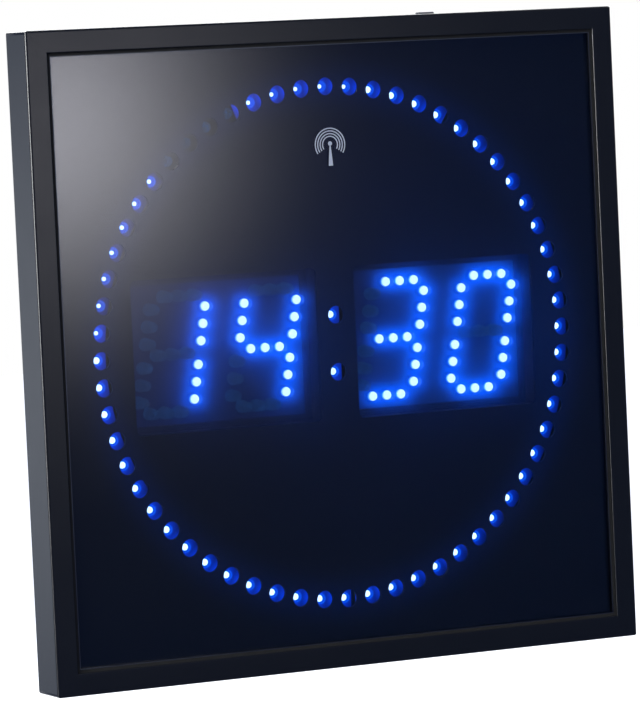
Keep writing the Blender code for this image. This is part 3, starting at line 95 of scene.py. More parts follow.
class Value:
    """A number in a shader tree, with the operators that the patterns use."""

    def __init__(self, graph: "Graph", socket: bpy.types.NodeSocket) -> None:
        """Wrap a socket.

        Args:
            graph: The graph that the socket's node is in.
            socket: An output that gives a number.
        """
        self.graph = graph
        self.socket = socket

    def maths(self, operation: str, *others: "Value | float") -> "Value":
        """Add a Math node that starts from this value.

        Args:
            operation: The Math node's operation.
            others: Its other operands.

        Returns:
            The node's result.
        """
        settings = {"operation": operation}
        inputs = dict(enumerate((self, *others)))
        return Value(self.graph, self.graph.node("ShaderNodeMath", settings, inputs).outputs[0])

    def __add__(self, other: "Value | float") -> "Value":
        """Return the sum."""
        return self.maths("ADD", other)

    __radd__ = __add__

    def __mul__(self, other: "Value | float") -> "Value":
        """Return the product."""
        return self.maths("MULTIPLY", other)

    __rmul__ = __mul__

    def __sub__(self, other: "Value | float") -> "Value":
        """Return the difference."""
        return self.maths("SUBTRACT", other)

    def __rsub__(self, other: float) -> "Value":
        """Return a number less this value."""
        return (self * -1.0) + other

    def __truediv__(self, other: "Value | float") -> "Value":
        """Return the quotient."""
        return self.maths("DIVIDE", other)

    def __neg__(self) -> "Value":
        """Return the value with its sign turned."""
        return self * -1.0

    def __lt__(self, other: "Value | float") -> "Value":
        """Return 1 where this value is less, and 0 elsewhere."""
        return self.maths("LESS_THAN", other)

    def __gt__(self, other: "Value | float") -> "Value":
        """Return 1 where this value is greater, and 0 elsewhere."""
        return self.maths("GREATER_THAN", other)

    def root(self) -> "Value":
        """Return the square root."""
        return self.maths("SQRT")

    def sine(self) -> "Value":
        """Return the sine."""
        return self.maths("SINE")

    def magnitude(self) -> "Value":
        """Return the value without its sign."""
        return self.maths("ABSOLUTE")

    def wrapped(self, high: float, low: float) -> "Value":
        """Return the value wrapped into a range that repeats."""
        return self.maths("WRAP", high, low)

    def bell(self, width: float) -> "Value":
        """Return a bell curve of this distance: 1 at zero, dying away over a width."""
        ratio = self / width
        return Value(self.graph, self.graph.number(math.e).socket).maths("POWER", -(ratio * ratio))

    def rise(self, low: float, high: float) -> "Value":
        """Return a smooth step from 0 at low to 1 at high."""
        settings = {"interpolation_type": "SMOOTHSTEP"}
        inputs = {"Value": self, "From Min": low, "From Max": high}
        node = self.graph.node("ShaderNodeMapRange", settings, inputs)
        return Value(self.graph, node.outputs["Result"])


class Graph:
    """A node tree under construction."""

    def __init__(self, tree: bpy.types.NodeTree) -> None:
        """Start from a tree, which may already hold nodes."""
        self.tree = tree

    def node(self, kind: str, settings: dict | None = None,
             inputs: dict | None = None) -> bpy.types.Node:
        """Add a node.

        Args:
            kind: The node's type.
            settings: Its properties, set first.
            inputs: Values or links of its sockets, by name or by index.

        Returns:
            The new node.
        """
        made = self.tree.nodes.new(kind)
        for name, value in (settings or {}).items():
            setattr(made, name, value)
        for key, value in (inputs or {}).items():
            self.feed(made.inputs[key], value)
        return made

    def feed(self, socket: bpy.types.NodeSocket, value: object) -> None:
        """Link a socket to a value of the graph, or set it to a plain one."""
        if isinstance(value, Value):
            value = value.socket
        if isinstance(value, bpy.types.NodeSocket):
            self.tree.links.new(value, socket)
        elif isinstance(value, tuple) and len(value) == 3 and socket.type == "RGBA":
            socket.default_value = (*value, 1.0)
        else:
            socket.default_value = value

    def number(self, value: float) -> Value:
        """Return a plain number as a value of the graph."""
        made = self.node("ShaderNodeValue")
        made.outputs[0].default_value = value
        return Value(self, made.outputs[0])

    def place(self) -> tuple[Value, Value, Value]:
        """Return the place on the object as three values: across, depth and height."""
        parts = self.node("ShaderNodeSeparateXYZ", inputs={0: self.point()})
        return tuple(Value(self, parts.outputs[axis]) for axis in range(3))

    def point(self) -> bpy.types.NodeSocket:
        """Return the place on the object as a vector."""
        return self.node("ShaderNodeTexCoord").outputs["Object"]

    def noise(self, size: float, detail: float = 2.0) -> Value:
        """Return noise on the object's place.

        Args:
            size: The size of its spots, in metres.
            detail: Its layers of finer noise.

        Returns:
            A value about 0.5.
        """
        inputs = {"Vector": self.point(), "Scale": 1.0 / size, "Detail": detail}
        return Value(self, self.node("ShaderNodeTexNoise", inputs=inputs).outputs[0])

    def mix(self, factor: "Value | float", low: object, high: object) -> bpy.types.NodeSocket:
        """Return a colour between two others."""
        made = self.node("ShaderNodeMix", {"data_type": "RGBA"})
        self.feed(made.inputs[0], factor)
        self.feed(made.inputs[6], low)
        self.feed(made.inputs[7], high)
        return made.outputs[2]

    def tinted(self, factor: "Value | float", colour: Colour) -> bpy.types.NodeSocket:
        """Return a colour made brighter or darker by a factor."""
        return self.scaled(self.mix(0.0, colour, colour), factor)

    def scaled(self, colour: bpy.types.NodeSocket, factor: "Value | float") -> bpy.types.NodeSocket:
        """Return a colour times a number."""
        made = self.node("ShaderNodeVectorMath", {"operation": "SCALE"}, {0: colour})
        self.feed(made.inputs["Scale"], factor)
        return made.outputs[0]

    def summed(self, first: object, second: object) -> bpy.types.NodeSocket:
        """Return the sum of two colours."""
        made = self.node("ShaderNodeVectorMath", {"operation": "ADD"}, {0: first, 1: second})
        return made.outputs[0]

    def bump(self, height: Value, depth: float) -> bpy.types.NodeSocket:
        """Return a normal that follows a height, with its depth in metres."""
        return self.node("ShaderNodeBump", inputs={"Height": height, "Distance": depth}).outputs[0]


@dataclass(frozen=True)
class Finish:
    """A finish of the clock: its colour, gloss, grain and slight unevenness."""

    name: str
    colour: Colour
    roughness: float = 0.5
    metallic: float = 0.0
    coat: float = 0.0
    unevenness: float = 0.12
    patch: float = 9.0 * MM
    grain: float = 0.35 * MM
    depth: float = 0.01 * MM
    gloss_spread: float = 0.06
    specular: float = 0.5

    def material(self) -> bpy.types.Material:
        """Build the finish's material.

        Returns:
            The material, made once for each finish.
        """
        known = bpy.data.materials.get(self.name)
        if known is not None:
            return known
        material = bpy.data.materials.new(self.name)
        material.use_nodes = True
        material.diffuse_color = (*self.colour, 1.0)
        graph = Graph(material.node_tree)
        shader = material.node_tree.nodes["Principled BSDF"]
        graph.feed(shader.inputs["Metallic"], self.metallic)
        graph.feed(shader.inputs["Coat Weight"], self.coat)
        graph.feed(shader.inputs["Specular IOR Level"], self.specular)
        self.dress(graph, shader)
        return material

    def dress(self, graph: Graph, shader: bpy.types.Node) -> None:
        """Link colour, gloss and grain to the shader."""
        patches = graph.noise(self.patch, 3.0)
        grain = graph.noise(self.grain)
        tone = 1.0 + (patches - 0.5) * (2.0 * self.unevenness)
        graph.feed(shader.inputs["Base Color"], graph.tinted(tone, self.colour))
        graph.feed(shader.inputs["Roughness"], self.roughness + (patches - 0.5) * self.gloss_spread)
        graph.feed(shader.inputs["Normal"], graph.bump(grain, self.depth))


@dataclass(frozen=True)
class RibbonFinish(Finish):
    """Flat cable: parallel wires side by side."""

    pitch: float = 1.27 * MM
    shading: float = 0.14

    def dress(self, graph: Graph, shader: bpy.types.Node) -> None:
        """Link the wires' colour, darkened by painted shade in the grooves between them, and their
        ridges to the shader.
        """
        across, _, _ = graph.place()
        ridge = (across * (2.0 * math.pi / self.pitch)).sine()
        patches = graph.noise(self.patch)
        # Painted shade: the tone follows the ridges, darker in the grooves between wires.
        tone = (1.0 - self.shading) + ridge * self.shading
        graph.feed(shader.inputs["Base Color"], graph.tinted(tone, self.colour))
        graph.feed(shader.inputs["Roughness"], self.roughness + (patches - 0.5) * self.gloss_spread)
        graph.feed(shader.inputs["Normal"], graph.bump(ridge, self.depth))


@dataclass(frozen=True)
class BoardFinish(Finish):
    """Circuit board: solder mask over a mesh of copper tracks."""

    track: float = 2.4 * MM
    lean: float = 0.5
    bends: float = 4.0
    track_edge: tuple[float, float] = (0.1, 0.5)
    copper: Colour = (0.05, 0.16, 0.09)

    def dress(self, graph: Graph, shader: bpy.types.Node) -> None:
        """Link the tracks' tone and relief to the shader."""
        across, _, up = graph.place()
        bend = graph.noise(self.patch, 0.0) * (self.bends * self.track)
        lines = ((across + up * self.lean + bend) * (2.0 * math.pi / self.track)).sine()
        tracks = lines.rise(*self.track_edge)
        weave = graph.noise(self.grain)
        graph.feed(shader.inputs["Base Color"], graph.mix(tracks, self.colour, self.copper))
        graph.feed(shader.inputs["Roughness"], self.roughness + (weave - 0.5) * self.gloss_spread)
        graph.feed(shader.inputs["Normal"], graph.bump(tracks, self.depth))


@dataclass(frozen=True)
class WoundFinish(Finish):
    """Enamelled wire wound along x, turn by turn."""

    turn: float = 0.45 * MM
    shading: float = 0.25

    def dress(self, graph: Graph, shader: bpy.types.Node) -> None:
        """Link the turns' tone, with painted shade between them, and relief to the shader."""
        across, _, _ = graph.place()
        turns = (across * (2.0 * math.pi / self.turn)).sine()
        patches = graph.noise(self.patch)
        # Painted shade: the tone follows the turns, darker in the grooves between them.
        tone = (1.0 - self.shading) + turns * self.shading
        graph.feed(shader.inputs["Base Color"], graph.tinted(tone, self.colour))
        graph.feed(shader.inputs["Roughness"], self.roughness + (patches - 0.5) * self.gloss_spread)
        graph.feed(shader.inputs["Normal"], graph.bump(turns, self.depth))


@dataclass(frozen=True)
class PaneFinish(Finish):
    """Clear acrylic pane, polished, with a trace of dust haze."""

    index: float = 1.49
    haze: float = 0.04

    def dress(self, graph: Graph, shader: bpy.types.Node) -> None:
        """Make the shader clear, and link its slight haze."""
        graph.feed(shader.inputs["Transmission Weight"], 1.0)
        graph.feed(shader.inputs["IOR"], self.index)
        dust = graph.noise(self.patch, 3.0)
        tone = 1.0 + (dust - 0.5) * self.haze
        graph.feed(shader.inputs["Base Color"], graph.tinted(tone, self.colour))
        graph.feed(shader.inputs["Roughness"], self.roughness + dust * self.gloss_spread)


@dataclass(frozen=True)
class GlowBlob:
    """A soft patch of blue light on the mask, in the dial's layout."""

    x: float
    y: float
    width: float
    strength: float


@dataclass(frozen=True)
class MaskFinish(Finish):
    """Matt black mask with the blue light that strays over it."""

    roughness: float = 0.7
    grain: float = 0.3 * MM
    depth: float = 0.003 * MM
    specular: float = 0.1
    ring_radius: float = 0.0
    ring_width: float = 9.0 * MM
    ring_strength: float = 0.02
    glow: Colour = (0.0, 0.12, 1.0)
    blobs: tuple[GlowBlob, ...] = ()

    def dress(self, graph: Graph, shader: bpy.types.Node) -> None:
        """Link the grain as on any finish, and add the strayed light."""
        super().dress(graph, shader)
        across, _, up = graph.place()
        reach = (across * across + up * up).root()
        light = (reach - self.ring_radius).bell(self.ring_width) * self.ring_strength
        for blob in self.blobs:
            side = across - blob.x
            rise = up - blob.y
            distance = (side * side + rise * rise).root()
            light = light + distance.bell(blob.width) * blob.strength
        graph.feed(shader.inputs["Emission Color"], graph.tinted(light, self.glow))
        shader.inputs["Emission Strength"].default_value = 1.0


@dataclass(frozen=True)
class LightFinish(Finish):
    """Clear body of a lit LED: bright blue at its tip and deep blue at its foot."""

    roughness: float = 0.2
    tip_level: float = 0.0
    fade: float = 8.0 * MM
    tip: Colour = (0.0, 0.16, 1.3)
    foot: Colour = (0.0, 0.03, 0.35)
    alpha: float = 0.3
    strength: float = 1.0

    def dress(self, graph: Graph, shader: bpy.types.Node) -> None:
        """Link the light to the depth below the LED's tip."""
        super().dress(graph, shader)
        _, depth, _ = graph.place()
        below = ((depth + self.tip_level) / self.fade).rise(0.0, 1.0)
        graph.feed(shader.inputs["Emission Color"], graph.mix(below, self.tip, self.foot))
        shader.inputs["Emission Strength"].default_value = self.strength
        shader.inputs["Alpha"].default_value = self.alpha


@dataclass(frozen=True)
class CoreFinish(Finish):
    """The glowing chip of an LED: white-hot towards the front and blue round its middle."""

    roughness: float = 0.3
    level: float = 0.0
    radius: float = 1.0 * MM
    hot: Colour = (0.7, 1.0, 1.0)
    rim: Colour = (0.0, 0.2, 0.8)
    rim_width: float = 0.55
    strength: float = 2.2

    def dress(self, graph: Graph, shader: bpy.types.Node) -> None:
        """Link the light to the height over the ball's middle."""
        _, depth, _ = graph.place()
        front = ((depth + self.level) * (-1.0 / self.radius)).rise(0.0, self.rim_width)
        graph.feed(shader.inputs["Base Color"], self.colour)
        graph.feed(shader.inputs["Roughness"], self.roughness)
        graph.feed(shader.inputs["Emission Color"], graph.mix(front, self.rim, self.hot))
        shader.inputs["Emission Strength"].default_value = self.strength


@dataclass(frozen=True)
class AttributeGlowFinish(Finish):
    """A surface lit by the LEDs next to it, by the attribute that holds their light."""

    alpha: float = 1.0
    glow: Colour = (0.0, 0.16, 1.0)
    strength: float = 1.0

    def dress(self, graph: Graph, shader: bpy.types.Node) -> None:
        """Link the grain as on any finish, and the light to the shader."""
        super().dress(graph, shader)
        read = graph.node("ShaderNodeAttribute", {"attribute_name": LIGHT_ATTRIBUTE})
        light = Value(graph, read.outputs["Fac"])
        graph.feed(shader.inputs["Emission Color"], graph.tinted(light, self.glow))
        shader.inputs["Emission Strength"].default_value = self.strength
        shader.inputs["Alpha"].default_value = self.alpha


@dataclass(frozen=True)
class ClearFinish(Finish):
    """Thin clear plastic that dims what lies behind it."""

    alpha: float = 0.2

    def dress(self, graph: Graph, shader: bpy.types.Node) -> None:
        """Link the grain as on any finish, and set the alpha."""
        super().dress(graph, shader)
        shader.inputs["Alpha"].default_value = self.alpha


@dataclass(frozen=True)
class SpeckledFinish(ClearFinish):
    """Clear moulding whose little flaws catch the light of its neighbours."""

    flaw: float = 0.7 * MM
    flaw_edge: tuple[float, float] = (0.58, 0.66)
    sheen: float = 0.03
    spark: Colour = (0.03, 0.2, 0.6)
    strength: float = 1.0

    def dress(self, graph: Graph, shader: bpy.types.Node) -> None:
        """Link the clear plastic, and the sparks of its flaws."""
        super().dress(graph, shader)
        sparks = graph.noise(self.flaw, 1.0).rise(*self.flaw_edge) + self.sheen
        graph.feed(shader.inputs["Emission Color"], graph.tinted(sparks, self.spark))
        shader.inputs["Emission Strength"].default_value = self.strength


@dataclass(frozen=True)
class RingBoardFinish(Finish):
    """Black board under a ring of LEDs, lit blue round each of them."""

    specular: float = 0.2
    radius: float = 0.0
    count: int = 60
    reach: float = 6.0 * MM
    strength: float = 1.0
    glow: Colour = (0.0, 0.055, 1.0)
    front: float = 0.0
    skin: float = 0.1 * MM
    dim_from: float = 0.0
    dark_from: float = 0.0
    dark_to: float = 0.0
    dimming: float = 0.7

    def dress(self, graph: Graph, shader: bpy.types.Node) -> None:
        """Link the grain as on any finish, and add the light round each LED that is lit."""
        super().dress(graph, shader)
        across, depth, up = graph.place()
        reach = (across * across + up * up).root()
        turn = across.maths("ARCTAN2", up)
        step = 2 * math.pi / self.count
        aside = turn.wrapped(step / 2, -step / 2) * self.radius
        beyond = reach - self.radius
        distance = (aside * aside + beyond * beyond).root()
        dark = (turn > self.dark_from) * (turn < self.dark_to)
        dim = (turn > self.dim_from) * (turn < self.dark_from) * self.dimming
        light = distance.bell(self.reach) * (1.0 - dark - dim) * (depth < self.skin - self.front)
        graph.feed(shader.inputs["Emission Color"], graph.tinted(light, self.glow))
        shader.inputs["Emission Strength"].default_value = self.strength


@dataclass(frozen=True)
class ColonBoardFinish(Finish):
    """Black board under the colon, lit blue round both of its LEDs."""

    rise: float = 0.0
    reach: float = 7.0 * MM
    strength: float = 1.0
    glow: Colour = (0.0, 0.05, 0.85)

    def dress(self, graph: Graph, shader: bpy.types.Node) -> None:
        """Link the grain as on any finish, and add the light round each LED."""
        super().dress(graph, shader)
        across, _, up = graph.place()
        beyond = up.magnitude() - self.rise
        distance = (across * across + beyond * beyond).root()
        light = distance.bell(self.reach)
        graph.feed(shader.inputs["Emission Color"], graph.tinted(light, self.glow))
        shader.inputs["Emission Strength"].default_value = self.strength


BOARD_BLACK: Colour = (0.006, 0.007, 0.01)
MASK_BLACK: Colour = (0.003, 0.0035, 0.005)
LIT_BODY: Colour = (0.01, 0.03, 0.2)
CHIP_WHITE: Colour = (0.8, 0.9, 1.0)

SATIN_BLACK = Finish("satin_black_anodising", (0.006, 0.0068, 0.009), 0.24, unevenness=0.1,
                     patch=14.0 * MM, grain=0.18 * MM, depth=0.004 * MM, gloss_spread=0.05)
# Painted shade: a near-black matt strip on the rails' ledge darkens the gap between bezel and pane.
SHADE_STRIP_BLACK = Finish("matt_black_seal", (0.0015, 0.0016, 0.002), 0.9, grain=0.3 * MM)
MACHINED = Finish("machined_aluminium_edge", (0.1, 0.11, 0.14), 0.3, 1.0, gloss_spread=0.1)
DIE_CAST = Finish("raw_die_casting", (0.42, 0.42, 0.43), 0.45, 1.0, grain=0.6 * MM,
                  depth=0.05 * MM)
FOAM = Finish("closed_cell_foam", (0.06, 0.06, 0.062), 0.95, grain=0.5 * MM, depth=0.15 * MM)
PANE = PaneFinish("clear_acrylic", (0.93, 0.95, 1.0), 0.0, gloss_spread=0.03)
COVER_BLACK = Finish("textured_black_moulding", (0.022, 0.022, 0.024), 0.6, patch=20.0 * MM,
                     grain=0.45 * MM, depth=0.05 * MM)
DARK_GREY = Finish("dark_grey_moulding", (0.13, 0.13, 0.14), 0.55, grain=0.3 * MM)
BLACK_MOULDING = Finish("smooth_black_moulding", (0.018, 0.018, 0.02), 0.4)
NATURAL_NYLON = Finish("natural_nylon", (0.72, 0.7, 0.65), 0.5)
ZINC = Finish("bright_zinc", (0.66, 0.67, 0.7), 0.28, 1.0, unevenness=0.18, patch=3.0 * MM,
              gloss_spread=0.18)
NICKEL = Finish("nickel_plate", (0.68, 0.67, 0.64), 0.22, 1.0, gloss_spread=0.1)
FERRITE = Finish("ground_ferrite", (0.05, 0.05, 0.055), 0.55, grain=0.25 * MM, depth=0.03 * MM)
COPPER_WIRE = WoundFinish("enamelled_copper_wire", (0.62, 0.22, 0.09), 0.3, 0.9, depth=0.1 * MM)
RIBBON = RibbonFinish("grey_ribbon_cable", (0.4, 0.41, 0.43), 0.5, depth=0.12 * MM)
LEAD_BLACK = Finish("black_insulation", (0.02, 0.02, 0.022), 0.45)
GREEN_BOARD = BoardFinish("green_circuit_board", (0.015, 0.075, 0.04), 0.4, depth=0.03 * MM)
PRINT_GREY = Finish("printed_light_grey", (0.5, 0.53, 0.58), 0.6)
BLACK_BOARD = Finish("black_display_board", BOARD_BLACK, 0.5, specular=0.2)
DARK_LED = SpeckledFinish("unlit_clear_led", (0.008, 0.02, 0.07), 0.1, specular=0.3,
                          unevenness=0.5, patch=1.2 * MM, grain=0.8 * MM, depth=0.3 * MM,
                          alpha=0.35)
LIT_BOARD = AttributeGlowFinish("lit_board_mask", (0.006, 0.008, 0.014), 0.5, specular=0.2,
                                glow=(0.0, 0.1, 1.0))
WINDOW = ClearFinish("clear_window", (0.02, 0.03, 0.06), 0.15, specular=0.2, alpha=0.1)
# Thin blue tint over each window, with the glow of the lit LEDs painted on it as emission.
TINT_AND_GLOW_FILM = AttributeGlowFinish("tinted_window_film", (0.006, 0.012, 0.03), 0.4, specular=0.2,
                                alpha=0.2, glow=(0.0, 0.1, 1.0), strength=3.0)


def arc(centre: Point, radius: float, start: float, end: float, steps: int) -> list[Point]:
    """Return the points of a round stretch.

    Args:
        centre: Its middle.
        radius: Its radius.
        start: Where it starts, in degrees.
        end: Where it ends, in degrees.
        steps: How many straight steps it has.

    Returns:
        Its points, the last one included.
    """
    points = []
    for step in range(steps + 1):
        angle = math.radians(start + (end - start) * step / steps)
        points.append((centre[0] + radius * math.cos(angle), centre[1] + radius * math.sin(angle)))
    return points


def circle(centre: Point, radius: float, sides: int) -> list[Point]:
    """Return the corners of a round outline."""
    return arc(centre, radius, 0.0, 360.0, sides)[:-1]


def rounded_rectangle(centre: Point, half_width: float, half_height: float, radius: float,
                      steps: int = 6) -> list[Point]:
    """Return the outline of a rectangle with round corners.

    Args:
        centre: Its middle.
        half_width: Half its width.
        half_height: Half its height.
        radius: The radius of its corners.
        steps: The straight steps of each corner.

    Returns:
        Its points, counterclockwise.
    """
    points = []
    for quarter, (side, end) in enumerate(((1, 1), (-1, 1), (-1, -1), (1, -1))):
        corner = (centre[0] + side * (half_width - radius),
                  centre[1] + end * (half_height - radius))
        points += arc(corner, radius, 90.0 * quarter, 90.0 * quarter + 90.0, steps)
    return points


def new_object(name: str, data: bpy.types.ID) -> bpy.types.Object:
    """Return a new object of the scene that holds some data."""
    made = bpy.data.objects.new(name, data)
    bpy.context.scene.collection.objects.link(made)
    return made


def baked_mesh(guide: bpy.types.Object) -> bpy.types.Mesh:
    """Turn a guide object into a plain mesh and remove the guide."""
    bpy.context.view_layer.update()
    depsgraph = bpy.context.evaluated_depsgraph_get()
    mesh = bpy.data.meshes.new_from_object(guide.evaluated_get(depsgraph), depsgraph=depsgraph)
    bpy.data.objects.remove(guide)
    return mesh


def tidy_mesh(mesh: bpy.types.Mesh, matrix: Matrix | None = None) -> bpy.types.Mesh:
    """Weld a mesh, place it and point its faces outwards.

    Args:
        mesh: The mesh, changed in place.
        matrix: Where it goes, if it moves.

    Returns:
        The same mesh.
    """
    work = bmesh.new()
    work.from_mesh(mesh)
    bmesh.ops.remove_doubles(work, verts=work.verts, dist=WELD)
    if matrix is not None:
        bmesh.ops.transform(work, matrix=matrix, verts=work.verts)
    bmesh.ops.recalc_face_normals(work, faces=work.faces)
    work.to_mesh(mesh)
    work.free()
    return mesh


def smooth(mesh: bpy.types.Mesh) -> bpy.types.Mesh:
    """Shade a mesh smooth, apart from its sharp edges and its flat, square-set faces.

    Args:
        mesh: The mesh, changed in place.

    Returns:
        The same mesh.
    """
    mesh.shade_smooth()
    mesh.set_sharp_from_angle(angle=SHARP_ANGLE)
    for polygon in mesh.polygons:
        polygon.use_smooth = max(abs(share) for share in polygon.normal) < SQUARE_SET
    return mesh


def outline_curve(name: str, outlines: list[list[Point]]) -> bpy.types.Curve:
    """Return a curve that holds closed outlines."""
    curve = bpy.data.curves.new(name, "CURVE")
    for points in outlines:
        spline = curve.splines.new("POLY")
        spline.points.add(len(points) - 1)
        for point, (x, y) in zip(spline.points, points):
            point.co = (x, y, 0.0, 1.0)
        spline.use_cyclic_u = True
    return curve


def plate_mesh(outlines: list[list[Point]], low: float, high: float,
               edge: float = 0.0) -> bpy.types.Mesh:
    """Make a flat plate on the dial's layout.

    Args:
        outlines: Its edge, and then its holes.
        low: The level of its back.
        high: The level of its front.
        edge: How far its edges are rounded.

    Returns:
        The plate's mesh, with its place in it.
    """
    curve = outline_curve("plate", outlines)
    curve.dimensions = "2D"
    curve.fill_mode = "BOTH"
    curve.extrude = (high - low) / 2 - edge
    curve.bevel_depth = edge
    curve.bevel_resolution = 1
    curve.offset = -edge
    mesh = baked_mesh(new_object("plate", curve))
    lift = Matrix.Translation((0.0, 0.0, (low + high) / 2))
    return smooth(tidy_mesh(mesh, dial_matrix() @ lift))


def turned_mesh(profile: list[Point], sides: int, place: Matrix) -> bpy.types.Mesh:
    """Make a solid turned about z.

    Args:
        profile: Its (radius, level) points, from one end to the other.
        sides: How many sides it has.
        place: Where it goes.

    Returns:
        The solid's mesh.
    """
    work = bmesh.new()
    verts = [work.verts.new((radius, 0.0, level)) for radius, level in profile]
    edges = [work.edges.new(pair) for pair in zip(verts, verts[1:])]
    bmesh.ops.spin(work, geom=verts + edges, cent=(0, 0, 0), axis=(0, 0, 1), angle=2 * math.pi,
                   steps=sides, use_merge=True, use_duplicate=False)
    mesh = bpy.data.meshes.new("turned")
    work.to_mesh(mesh)
    work.free()
    return smooth(tidy_mesh(mesh, place))


def joined_mesh(meshes: list[bpy.types.Mesh]) -> bpy.types.Mesh:
    """Return one mesh that holds several."""
    work = bmesh.new()
    for mesh in meshes:
        work.from_mesh(mesh)
    joined = bpy.data.meshes.new("joined")
    work.to_mesh(joined)
    work.free()
    return smooth(joined)


def cut_mesh(mesh: bpy.types.Mesh, cutters: list[bpy.types.Mesh],
             operation: str = "DIFFERENCE") -> bpy.types.Mesh:
    """Return a mesh with other bodies cut out of it, or trimmed to them.

    Args:
        mesh: The mesh.
        cutters: The other bodies.
        operation: DIFFERENCE to cut them out, INTERSECT to trim to them.

    Returns:
        The new mesh.
    """
    body = new_object("body", mesh)
    tools = []
    for cutter in cutters:
        tool = new_object("cutter", cutter)
        boolean = body.modifiers.new("cut", "BOOLEAN")
        boolean.operation = operation
        boolean.solver = "EXACT"
        boolean.object = tool
        tools.append(tool)
    cut = baked_mesh(body)
    for tool in tools:
        bpy.data.objects.remove(tool)
    return smooth(cut)


def box_mesh(low: Place, high: Place) -> bpy.types.Mesh:
    """Return a box between two corners of the dial's layout."""
    size = Vector(high) - Vector(low)
    work = bmesh.new()
    bmesh.ops.create_cube(work, size=1.0, matrix=Matrix.Diagonal((*size, 1.0)))
    mesh = bpy.data.meshes.new("box")
    work.to_mesh(mesh)
    work.free()
    return tidy_mesh(mesh, dial_matrix() @ Matrix.Translation((Vector(high) + Vector(low)) / 2))


class GeometryGraph(Graph):
    """A Geometry Nodes tree with named inputs for its sizes."""

    def __init__(self, name: str) -> None:
        """Start a tree with one geometry input and one geometry output."""
        super().__init__(bpy.data.node_groups.new(name, "GeometryNodeTree"))
        self.defaults: dict[str, object] = {}
        for end in ("INPUT", "OUTPUT"):
            self.tree.interface.new_socket("Geometry", in_out=end,
                                           socket_type="NodeSocketGeometry")
        self.entry = self.node("NodeGroupInput")
        self.exit = self.node("NodeGroupOutput")

    def size(self, name: str, value: object, kind: str = "Float") -> bpy.types.NodeSocket:
        """Add a named input.

        Args:
            name: What the input is called.
            value: What the modifier sets it to.
            kind: Its socket's type, such as Float, Int, Object or Material.

        Returns:
            The socket that gives it inside the tree.
        """
        self.tree.interface.new_socket(name, in_out="INPUT", socket_type="NodeSocket" + kind)
        self.defaults[name] = value
        return self.entry.outputs[name]

    def finish(self, geometry: bpy.types.NodeSocket, finish: bpy.types.Material) -> None:
        """End the tree with Realize Instances and Set Material."""
        real = self.node("GeometryNodeRealizeInstances", inputs={0: geometry})
        material = self.size("Finish", finish, "Material")
        dressed = self.node("GeometryNodeSetMaterial",
                            inputs={"Geometry": real.outputs[0], "Material": material})
        self.feed(self.exit.inputs[0], dressed.outputs[0])

    def run(self, name: str, data: bpy.types.ID) -> bpy.types.Mesh:
        """Run the tree on some data.

        Args:
            name: The name of the object that carries it.
            data: A mesh or curve that the tree starts from.

        Returns:
            The plain mesh that it makes.
        """
        guide = new_object(name, data)
        modifier = guide.modifiers.new("nodes", "NODES")
        modifier.node_group = self.tree
        for item in self.tree.interface.items_tree:
            if item.in_out == "INPUT" and item.name in self.defaults:
                modifier[item.identifier] = self.defaults[item.name]
        return baked_mesh(guide)


def points_mesh(places: list[Place]) -> bpy.types.Mesh:
    """Return a mesh of loose points on the dial's layout."""
    mesh = bpy.data.meshes.new("places")
    mesh.from_pydata([tuple(dial_matrix() @ Vector(place)) for place in places], [], [])
    return mesh


def repeated(name: str, mesh: bpy.types.Mesh, places: list[Place], finish: bpy.types.Material,
             size: float = 1.0) -> bpy.types.Mesh:
    """Repeat a small mesh at places, with Geometry Nodes.

    Args:
        name: The name of the repeated piece.
        mesh: The mesh, about its own origin and already upright.
        places: Where the copies go, on the dial's layout.
        finish: Their material.
        size: How large the copies are.

    Returns:
        One plain mesh of all the copies.
    """
    source = new_object(name + "_pattern", mesh)
    graph = GeometryGraph(name)
    pattern = graph.size("Pattern", source, "Object")
    scale = graph.size("Size", size)
    shown = graph.node("GeometryNodeObjectInfo", inputs={"Object": pattern})
    copies = graph.node("GeometryNodeInstanceOnPoints",
                        inputs={"Points": graph.entry.outputs["Geometry"],
                                "Instance": shown.outputs["Geometry"], "Scale": scale})
    graph.finish(copies.outputs[0], finish)
    made = graph.run(name, points_mesh(places))
    bpy.data.objects.remove(source)
    return smooth(made)


@dataclass
class Builder:
    """What every sub-assembly does: put pieces on the clock and dress them."""

    frame: dict = field(repr=False)

    def piece(self, name: str, mesh: bpy.types.Mesh, material: bpy.types.Material, slot: str,
              replaced: tuple[str, ...] = (), body: str = "case") -> bpy.types.Object:
        """Put a piece on the clock.

        Args:
            name: The piece's name.
            mesh: Its mesh, with its place in it.
            material: Its material.
            slot: The record's slot for the piece; not used.
            replaced: The nodes that it stands for.
            body: The body that it rides on.

        Returns:
            The piece's object.
        """
        mesh.name = name
        mesh.materials.clear()
        mesh.materials.append(material)
        made = new_object(name, mesh)
        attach(made, body)
        if replaced:
            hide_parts(*replaced)
        LOG.info("piece %s on %s, %d faces", name, body, len(mesh.polygons))
        return made

    def dress(self, finish: Finish, *nodes: str) -> None:
        """Give CAD nodes a finish."""
        for node in nodes:
            shown = self.frame["nodes"][node]
            shown.data.materials.clear()
            shown.data.materials.append(finish.material())
            LOG.info("node %s in %s", node, finish.name)


